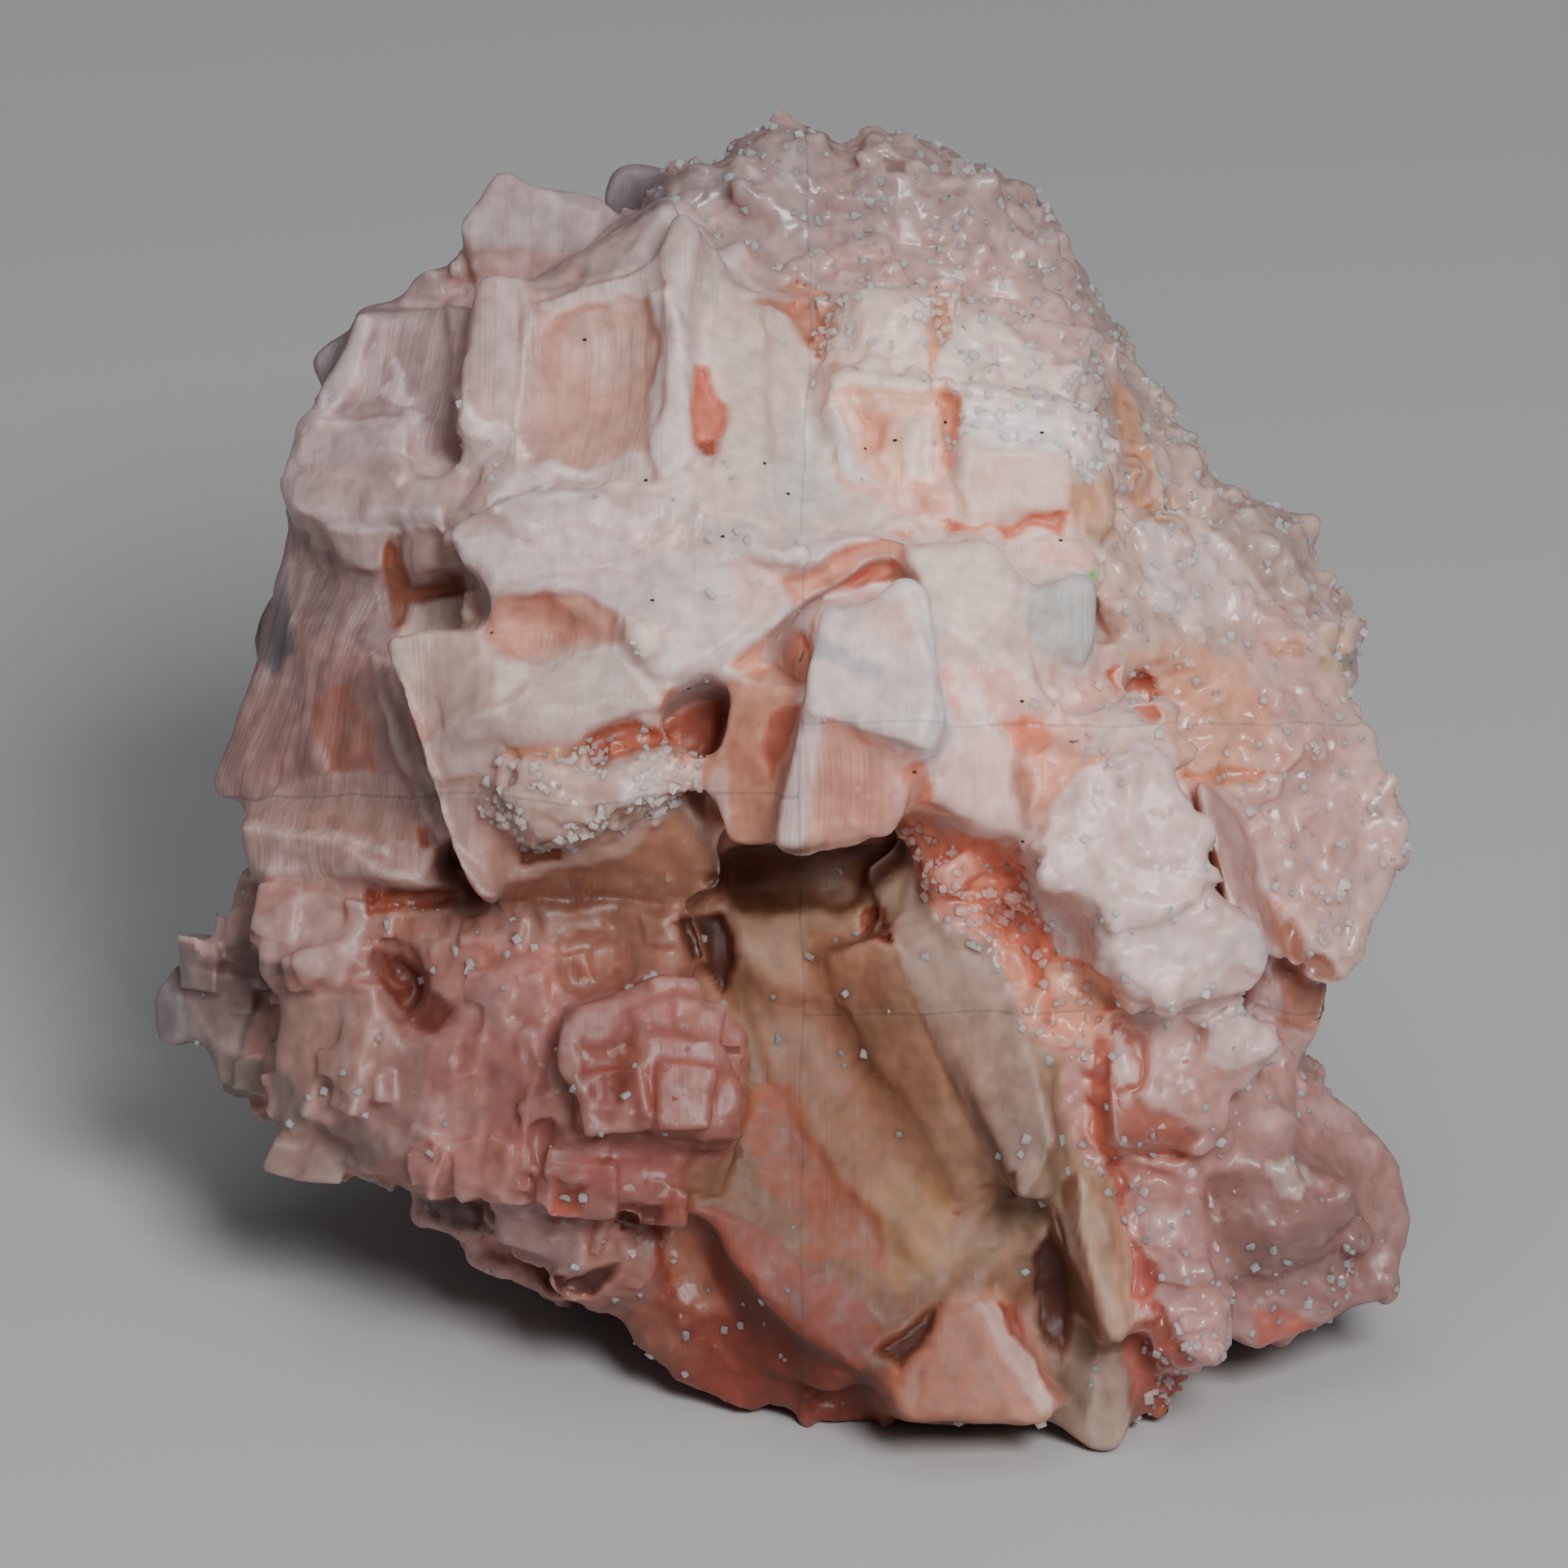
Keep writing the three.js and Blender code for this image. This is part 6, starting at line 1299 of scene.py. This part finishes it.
def milky_salt(name, radius, reach):
    """Milky salt: light spreads inside it, its colour is in the tint, and fine crystals roughen it."""
    material = bpy.data.materials.new(name)
    material.use_nodes = True
    tree = material.node_tree
    tree.nodes.clear()
    place = node(tree, "ShaderNodeTexCoord").outputs["Object"]

    def cloud(scale, detail):
        inputs = {"Vector": place, "Scale": scale, "Detail": detail}
        return node(tree, "ShaderNodeTexNoise", inputs).outputs["Fac"]

    def between(source, least, most, low=0.3, high=0.7):
        spread = {"Value": source, "From Min": low, "From Max": high, "To Min": least, "To Max": most}
        return node(tree, "ShaderNodeMapRange", spread).outputs["Result"]

    def number(how, a, b):
        return node(tree, "ShaderNodeMath", {0: a, 1: b}, operation=how).outputs["Value"]

    def vector(how, *values):
        return node(tree, "ShaderNodeVectorMath", dict(enumerate(values)), operation=how).outputs["Vector"]

    def scaled(source, share):
        inputs = {0: source, "Scale": share}
        return node(tree, "ShaderNodeVectorMath", inputs, operation="SCALE").outputs["Vector"]

    def attribute(called, output="Fac"):
        return node(tree, "ShaderNodeAttribute", attribute_name=called).outputs[output]

    # Fine growth lines, each at its own place across the crystal, in millimetres.
    place_across = {"W": attribute("line_place"), "Scale": 2.6, "Detail": 2}
    lines = node(tree, "ShaderNodeTexNoise", place_across, noise_dimensions="1D").outputs["Fac"]
    lined = number("MULTIPLY", attribute("lined"), between(lines, -0.7, 0.7))
    mist = cloud(700, 2)
    mottle = number("MULTIPLY", between(mist, 0.85, 1.16), between(lined, 0.955, 1.045, -1, 1))
    sparkle = attribute("sparkle")
    dullness = number("MULTIPLY", between(sparkle, 0.62, 0.3, 0, 0.8), between(mist, 0.85, 1.15))
    relief = {
        "Height": number("ADD", cloud(1100, 0), lined), "Strength": 0.25, "Distance": 0.00025,
    }
    bump = node(tree, "ShaderNodeBump", relief).outputs["Normal"]
    # Some of the tiny crystals face their own way, so that they glint.
    sugar = node(tree, "ShaderNodeTexVoronoi", {"Vector": place, "Scale": 1700}).outputs["Color"]
    chance = node(tree, "ShaderNodeSeparateColor", {"Color": sugar}).outputs["Blue"]
    glint = number("MULTIPLY", sparkle, between(chance, 0.12, 1.3, 0.86, 0.9))
    tilted = scaled(vector("SUBTRACT", sugar, (0.5, 0.5, 0.5)), glint)
    shader = node(tree, "ShaderNodeBsdfPrincipled", {
        "Base Color": scaled(attribute("tint", "Color"), mottle), "Roughness": dullness, "IOR": 1.54,
        "Normal": vector("NORMALIZE", vector("ADD", bump, tilted)),
        "Subsurface Weight": 1.0, "Subsurface Radius": radius, "Subsurface Scale": reach,
    }, subsurface_method="BURLEY")
    node(tree, "ShaderNodeOutputMaterial", {"Surface": shader.outputs["BSDF"]})
    return material


def plain(name, inputs):
    """A plain material, from what its shader's inputs say."""
    material = bpy.data.materials.new(name)
    material.use_nodes = True
    shader = material.node_tree.nodes["Principled BSDF"]
    for key, value in inputs.items():
        shader.inputs[key].default_value = value
    return material


def clear_salt(name):
    """A clear grain of salt, with a little milk in it."""
    return plain(name, {
        "Base Color": (0.93, 0.86, 0.84, 1), "Roughness": 0.08, "IOR": 1.54, "Transmission Weight": 0.55,
    })


# ---- the grains on the surface ------------------------------------------------------------------


GRAIN_SIZES = ((0.0009, 0.0009, 0.0005), (0.0008, 0.0008, 0.0008))  # a flat grain and a cube, in metres


def grain_tree(material):
    """Geometry nodes that strew small crystals over a surface, most where its "sugar" is high."""
    tree = bpy.data.node_groups.new("strewn_grains", "GeometryNodeTree")
    sockets = {}
    for name, kind in (("Geometry", "NodeSocketGeometry"), ("Density", "NodeSocketFloat"),
                       ("Least size", "NodeSocketFloat"), ("Most size", "NodeSocketFloat"),
                       ("Seed", "NodeSocketInt")):
        sockets[name] = tree.interface.new_socket(name, in_out="INPUT", socket_type=kind).identifier
    tree.interface.new_socket("Geometry", in_out="OUTPUT", socket_type="NodeSocketGeometry")
    source = tree.nodes.new("NodeGroupInput").outputs
    sugar = node(tree, "GeometryNodeInputNamedAttribute", {"Name": "sugar"}).outputs["Attribute"]
    dense = node(tree, "ShaderNodeMath", {0: sugar, 1: source["Density"]}, operation="MULTIPLY")
    spread = node(tree, "GeometryNodeDistributePointsOnFaces", {
        "Mesh": source["Geometry"], "Density": dense.outputs["Value"], "Seed": source["Seed"],
    })
    kinds = node(tree, "GeometryNodeGeometryToInstance")
    for size in GRAIN_SIZES:
        grain = node(tree, "GeometryNodeMeshCube", {"Size": size})
        tree.links.new(grain.outputs["Mesh"], kinds.inputs["Geometry"])
    turn = node(tree, "FunctionNodeRandomValue", data_type="FLOAT_VECTOR")
    turn.inputs["Max"].default_value = (6.28, 6.28, 6.28)
    tree.links.new(source["Seed"], turn.inputs["Seed"])
    size = node(tree, "FunctionNodeRandomValue", {"Seed": source["Seed"]}, data_type="FLOAT")
    least, most = [socket for socket in size.inputs if socket.type == "VALUE"][:2]
    tree.links.new(source["Least size"], least)
    tree.links.new(source["Most size"], most)
    strewn = node(tree, "GeometryNodeInstanceOnPoints", {
        "Points": spread.outputs["Points"], "Instance": kinds.outputs["Instances"],
        "Pick Instance": True, "Rotation": turn.outputs["Value"],
        "Scale": next(socket for socket in size.outputs if socket.type == "VALUE"),
    })
    real = node(tree, "GeometryNodeRealizeInstances", {"Geometry": strewn.outputs["Instances"]})
    coated = {"Geometry": real.outputs["Geometry"], "Material": material}
    coated = node(tree, "GeometryNodeSetMaterial", coated)
    node(tree, "NodeGroupOutput", {"Geometry": coated.outputs["Geometry"]})
    return tree, sockets


def riding(name, mesh):
    """A new piece of the cluster, on the one body, which stands for the CAD node."""
    piece = bpy.data.objects.new(name, mesh)
    bpy.context.collection.objects.link(piece)
    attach(piece, "root")
    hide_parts(NODE)


# The grains: how many for each square metre where "sugar" is 1, and the scale of the smallest and the
# largest of them, as a share of GRAIN_SIZES.
MILKY_GRAINS = {"Density": 3600000.0, "Least size": 0.25, "Most size": 0.8, "Seed": 3}
CLEAR_GRAINS = {"Density": 220000.0, "Least size": 0.1, "Most size": 0.28, "Seed": 4}


def grains_on(beds, name, material, choices):
    """Small grains of one material on the sugary parts of the best face."""
    points, faces, _ = joined(beds)
    bed_mesh = mesh_from("bed", to_room(points), faces)
    for key, kind, field, width in (("sugar", "FLOAT", "value", 1), ("tint", "FLOAT_COLOR", "color", 4)):
        values = np.concatenate([bed[key] for bed in beds])
        if width == 4:
            values = np.column_stack([values, np.ones(len(values))])
        bed_mesh.attributes.new(key, kind, "POINT").data.foreach_set(field, values.ravel())
    bed = bpy.data.objects.new("bed", bed_mesh)
    bpy.context.collection.objects.link(bed)
    tree, sockets = grain_tree(material)
    step = bed.modifiers.new("grains", "NODES")
    step.node_group = tree
    for key, value in choices.items():
        step[sockets[key]] = value
    ready = bed.evaluated_get(bpy.context.evaluated_depsgraph_get())
    grains_mesh = bpy.data.meshes.new_from_object(ready)
    grains_mesh.name = name
    bpy.data.objects.remove(bed)
    bpy.data.meshes.remove(bed_mesh)
    riding(name, grains_mesh)


# Specks of dust on the best face: (across, up).
DUST = [
    (-9.9, 13.8), (19.5, 26.6), (-7.2, 7.2), (6.1, 25.4), (-22, 11.4), (8.4, 26), (-15.2, 33.9),
    (-10.4, 22.9), (17.8, 6.2), (9.7, 0.9), (-1.5, 24.2), (20.9, 18.4), (-4.6, 18.6), (17.9, -4.3),
    (0.3, 21.9), (12.2, 27.4),
]


def specks_of_dust(beds, material):
    """Dark specks that lie on the best face."""
    points, faces, _ = joined(beds)
    tree = BVHTree.FromPolygons(points.tolist(), faces.tolist())
    specks = []
    for number, (across, up) in enumerate(DUST):
        hit = tree.ray_cast(Vector((across, up, 90)), Vector((0, 0, -1)))
        if hit[0] is not None:
            specks.append(lump(tuple(hit[0]), (0.2, 0.13, 0.12), detail=0, seed=number))
    points, faces, _ = joined(specks)
    mesh = mesh_from("dust", to_room(points), faces)
    mesh.materials.append(material)
    riding("dust", mesh)


# ---- building -----------------------------------------------------------------------------------

SPREAD = (1.0, 0.56, 0.44)  # how far red, green and blue light spread in the salt, of its reach
LIGHT_REACH = 0.002  # how far light spreads in the salt, in metres
salt = milky_salt("milky_pink_salt", SPREAD, LIGHT_REACH)

GROUPS = {
    "hopper": hopper, "ledges": ledges, "tray": tray, "cubes": cubes, "keystone": keystone,
    "whiteBlocks": whiteBlocks, "shell": shell, "scales": scales, "clayCrystal": clayCrystal,
    "standingPlates": standingPlates, "extras": extras,
}

def healed(points, faces):
    """The shape with its narrow gaps grown shut: its skin swells and then shrinks again."""
    for away in [HEAL / 3] * 3 + [-HEAL / 3] * 3:
        points, faces = skin_of(points, faces, BASE)
        web = Web(faces, len(points))
        points = points + away * web.evened(normals_of(points, faces), 2)
    return web.evened(points, 3), faces


base_points, base_faces, _ = joined([merged_copy(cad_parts[NODE]), *extras.values()])
solid_points, solid_faces = healed(base_points, base_faces)
solid_faces = np.vstack([solid_faces[:, (0, 1, 2)], solid_faces[:, (0, 2, 3)]])

# Each crystal of the tables gives the salt near it its directions, its finish and its colour. The last
# five stand for the salt of the far side.
crystals = [c for group in GROUPS.values() for c in group.values()]
table_points, table_faces, table_owners = joined(crystals)
table_tree = BVHTree.FromPolygons(table_points.tolist(), table_faces.tolist())
kinds = []
for group, named in GROUPS.items():
    usual, special = LOOKS[group]
    kinds += [special.get(name, usual).split() for name in named]
kinds += [kind.split() for kind in FAR_SIDE]
numbers = {key: np.array([FINISHES[finish][key] for finish, _ in kinds]) for key in FINISH_PARTS}
colours = np.array([light_of(colour) for _, colour in kinds])
far_axes = [turned((23 * k, 31 * k, 17 * k)) for k in range(len(FAR_SIDE))]
own_axes = np.stack([c["axes"] for c in crystals] + far_axes)


def owners_of(points):
    """Which crystal of the tables each point belongs to."""
    found, away = nearest_faces(points, table_tree)
    owners = table_owners[found]
    cell = np.floor((points + 1.5 * waves(points, 5.0, 301)[:, None]) / FAR_CRYSTAL).astype(np.int64)
    far = len(crystals) + scramble(cell[:, 0], cell[:, 1], cell[:, 2], 303) % np.uint32(len(FAR_SIDE))
    return np.where(away > OWN_REACH, far.astype(np.int64), owners)


mass_points, mass_faces = skin_of(solid_points, solid_faces, COARSEST)
mass_web = Web(mass_faces, len(mass_points))
mass_normals = normals_of(mass_points, mass_faces)
mass_tree = BVHTree.FromPolygons(mass_points.tolist(), mass_faces.tolist())
mass_seen = mass_web.evened(openness(mass_points, mass_normals, mass_tree), 3)

# Places for the small crystals, all over the mass.
corners = mass_points[mass_faces]
areas = 0.5 * np.linalg.norm(np.cross(corners[:, 2] - corners[:, 0], corners[:, 3] - corners[:, 1]), axis=1)
middles = corners.mean(axis=1)
face_owners = owners_of(middles)
expected = areas * numbers["many"][face_owners] / 100
drawn = np.random.default_rng(7)
picked = np.repeat(np.arange(len(areas)), drawn.poisson(expected))
places = middles[picked] + drawn.uniform(-0.5, 0.5, (len(picked), 3))
outward = mass_normals[mass_faces[picked]].mean(axis=1)
grown_points, grown_faces, grown_shapes = small_crystals(
    places, outward, face_owners[picked], own_axes, numbers, seed=8,
)


def thinned_inside(points, faces, deep):
    """The skin with wide faces where deep is true, which is inside the mass, where nothing shows."""
    cells = np.floor(points / HIDDEN_CELL).astype(np.int64)
    grid = (cells[:, 0] * 1000 + cells[:, 1]) * 1000 + cells[:, 2]
    _, kept, to_kept = np.unique(grid[deep], return_index=True, return_inverse=True)
    stand_in = np.arange(len(points))
    stand_in[deep] = np.nonzero(deep)[0][kept][to_kept]
    corners = stand_in[faces]
    rows = np.vstack([corners[:, (0, 1, 2)], corners[:, (0, 2, 3)]])
    whole = (rows[:, 0] != rows[:, 1]) & (rows[:, 1] != rows[:, 2]) & (rows[:, 2] != rows[:, 0])
    rows = rows[whole]
    used, packed = np.unique(rows, return_inverse=True)
    return used, packed.reshape(-1, 3)


def thickness(nearest, outward, wanted):
    """How thick the mass is behind the nearest face of each of the wanted points, in millimetres."""
    found = np.full(len(nearest), THICKEST)
    start = mass_points[mass_faces[nearest]].mean(axis=1) - 0.3 * outward
    for i in np.nonzero(wanted)[0]:
        way = Vector(-outward[i])
        hit = mass_tree.ray_cast(Vector(start[i]), way, THICKEST)
        if hit[0] is not None:
            found[i] = hit[3] if hit[1].dot(way) > 0 else 0.0
    return found


def crystals_within(low, high):
    """The small crystals that lie wholly in the box from low to high."""
    held = ((grown_points > low) & (grown_points < high)).all(axis=1)
    whole = np.ones(grown_shapes.max() + 1, dtype=bool)
    whole[grown_shapes[~held]] = False
    return {"points": grown_points, "faces": grown_faces[whole[grown_shapes[grown_faces[:, 0]]]]}


def softened(points, web, wanted):
    """points evened out, each over about as many rounds as its finish wants."""
    for rounds in (2, 3, 5):
        softer = web.evened(points, rounds - 1)
        share = web.evened((wanted >= rounds).astype(float), 3)[:, None]
        points = points * (1 - share) + softer * share
    return points


def sinking(beyond, nearest):
    """The way that each point past its piece's own box sinks into the mass, under the next piece."""
    sunk = np.where(beyond < SEAM_LAP, 0.1 * beyond, 0.04 + 0.9 * (beyond - SEAM_LAP))
    outward = mass_normals[mass_faces[nearest]].mean(axis=1)
    outward = outward / np.linalg.norm(outward, axis=1)[:, None]
    sunk = np.clip(sunk, 0, 0.4 * thickness(nearest, outward, beyond > SEAM_LAP))
    return -outward * sunk[:, None]


def bed_of(points, moved, faces, beyond, sugar, tint, web):
    """Where small grains grow on a piece: inside its own box, and clear of the table."""
    clear_of_table = to_room(moved)[faces, 2].min(axis=1) > TABLE_CLEARANCE
    shown = (beyond[faces].max(axis=1) < 0) & clear_of_table
    patches = stepped_share(waves_in_octaves(points, 3.0, 401, 3), 0.15, 0.5)
    sugar = web.evened(sugar, 6) ** 1.5 * (0.2 + 0.8 * patches)
    return {"points": moved, "faces": faces[shown], "sugar": sugar, "tint": 0.6 * tint + 0.26}


def piece_between(name, low, high, cell, lift):
    """The part of the mass in the box from low to high, in millimetres on the best face."""
    low, high = np.array(low, float), np.array(high, float)
    reach = (low - OVERLAP, high + OVERLAP)
    shapes = [kept_inside(solid_points, solid_faces, *reach), crystals_within(*reach)]
    points, faces = skin_of(*joined(shapes)[:2], cell)
    web = Web(faces, len(points))
    owners = owners_of(points)
    looks = {key: values[owners] for key, values in numbers.items() if values.ndim == 1}
    nearest, from_mass = nearest_faces(points, mass_tree)
    seen = mass_seen[mass_faces[nearest]].mean(axis=1)
    points = softened(points, web, looks["soften"])
    normals = web.evened(normals_of(points, faces), 4)
    beyond = np.maximum(low - points, points - high).max(axis=1)
    facing = np.maximum(normals[:, 2] * 2.4 - 0.4, (beyond - 0.3) / 1.5)
    facing = np.clip(facing, 0, 1) * np.clip((points[:, 2] + 16) / 4, 0, 1)
    sheets = sheets_on(points, web.evened(facing, 3))
    raised = points + sheets[0][:, None] * (0, 0, 1)
    moved = detailed(warped(raised), faces, web, own_axes[owners], looks)
    normals = normals_of(moved, faces)
    edge = web.evened(((moved - web.evened(moved, 7)) * normals).sum(axis=1), 1)
    tint = coloured(moved, colours[owners], looks, seen, edge, sheets, web)
    # Less light spreads across a seam, so painted light makes the salt a little lighter there.
    near_seam = np.exp(-((beyond / SEAM_WIDTH) ** 2))[:, None]
    tint = np.minimum(tint * (1 + near_seam * SEAM_LIGHT), 0.95)
    if name != "far_side":
        beds.append(bed_of(points, moved, faces, beyond, looks["sugar"], tint, web))
    local = np.einsum("nji,nj->ni", own_axes[owners], moved)
    finish = {
        "sparkle": web.evened(looks["sparkle"], 6),
        "lined": web.evened(np.clip(looks["lines"] / 0.13, 0, 1), 3),
        "line_place": local[:, 0] + 0.5 * waves(moved, 7.0, 411),
    }
    moved = moved + sinking(beyond, nearest)
    used, rows = thinned_inside(moved, faces, (beyond > 0.8) & (from_mass > 1.6))
    finish = {key: values[used] for key, values in finish.items()}
    make_piece(name, moved[used], rows, normals[used], tint[used], finish, lift)


beds = []
FAR = 80  # past the end of the mass, any way
SEAM_ACROSS, SEAM_OUT = 1.5, -11.0
SEAM_LEFT, SEAM_HIGH, SEAM_LOW = -1.0, 4.6, -17.5
PIECES = (
    ("upper_left", (-FAR, SEAM_LEFT, SEAM_OUT), (SEAM_ACROSS, FAR, FAR), FINE),
    ("lower_left", (-FAR, -FAR, SEAM_OUT), (SEAM_ACROSS, SEAM_LEFT, FAR), FINE),
    ("upper_right", (SEAM_ACROSS, SEAM_HIGH, SEAM_OUT), (FAR, FAR, FAR), FINE),
    ("middle_right", (SEAM_ACROSS, SEAM_LOW, SEAM_OUT), (FAR, SEAM_HIGH, FAR), FINE),
    ("lower_right", (SEAM_ACROSS, -FAR, SEAM_OUT), (FAR, SEAM_LOW, FAR), FINE),
    ("far_side", (-FAR, -FAR, -FAR), (FAR, FAR, SEAM_OUT), COARSE),
)
# Each piece rests a hair higher than the one before, so that no two undersides are one face.
for number, (name, low, high, cell) in enumerate(PIECES):
    piece_between(name, low, high, cell, LIFT * number)
grains_on(beds, "milky_grains", salt, MILKY_GRAINS)
grains_on(beds, "clear_grains", clear_salt("clear_salt"), CLEAR_GRAINS)
dark_dust = plain("dark_dust", {"Base Color": (0.03, 0.02, 0.02, 1), "Roughness": 0.8})
specks_of_dust(beds, dark_dust)

# ---- the room -----------------------------------------------------------------------------------


def area_light(name, place, size, power, colour):
    """A soft square light that looks at the cluster."""
    lamp = bpy.data.lights.new(name, "AREA")
    lamp.size = size
    lamp.energy = power
    lamp.color = colour
    holder = bpy.data.objects.new(name, lamp)
    holder.location = place
    holder.rotation_euler = (Vector(HEART) / 1000 - Vector(place)).to_track_quat("-Z", "Y").to_euler()
    bpy.context.collection.objects.link(holder)


floor_corners = np.array([(-4.0, -4.0, 0.0), (4.0, -4.0, 0.0), (4.0, 4.0, 0.0), (-4.0, 4.0, 0.0)])
floor_mesh = mesh_from("floor", floor_corners, np.array([[0, 1, 2, 3]]))
floor_mesh.materials.append(plain("pale_floor", {"Base Color": (0.5, 0.5, 0.5, 1), "Roughness": 0.9}))
floor = bpy.data.objects.new("floor", floor_mesh)
bpy.context.collection.objects.link(floor)

area_light("key_light", (0.26, -0.72, 0.66), 0.3, 9.3, (1.0, 0.99, 0.98))
area_light("sky_light", (-0.1, -0.2, 1.1), 0.8, 2.85, (0.96, 0.98, 1.0))
world = bpy.data.worlds.new("room")
world.use_nodes = True
world.node_tree.nodes["Background"].inputs["Color"].default_value = (0.8, 0.82, 0.85, 1)
world.node_tree.nodes["Background"].inputs["Strength"].default_value = 0.12
bpy.context.scene.world = world

tilt = math.radians(FACE_LEAN)
way = Vector((0, -math.cos(tilt), math.sin(tilt)))
camera = bpy.data.cameras.new("camera")
camera.sensor_width = SENSOR
camera.lens = SENSOR * CAMERA_DISTANCE / VIEW_WIDTH
camera.clip_start = 0.05
camera.clip_end = 20
stand = bpy.data.objects.new("camera", camera)
stand.location = (Vector(HEART) + way * CAMERA_DISTANCE) / 1000
stand.rotation_euler = (-way).to_track_quat("-Z", "Y").to_euler()
bpy.context.collection.objects.link(stand)
bpy.context.scene.camera = stand
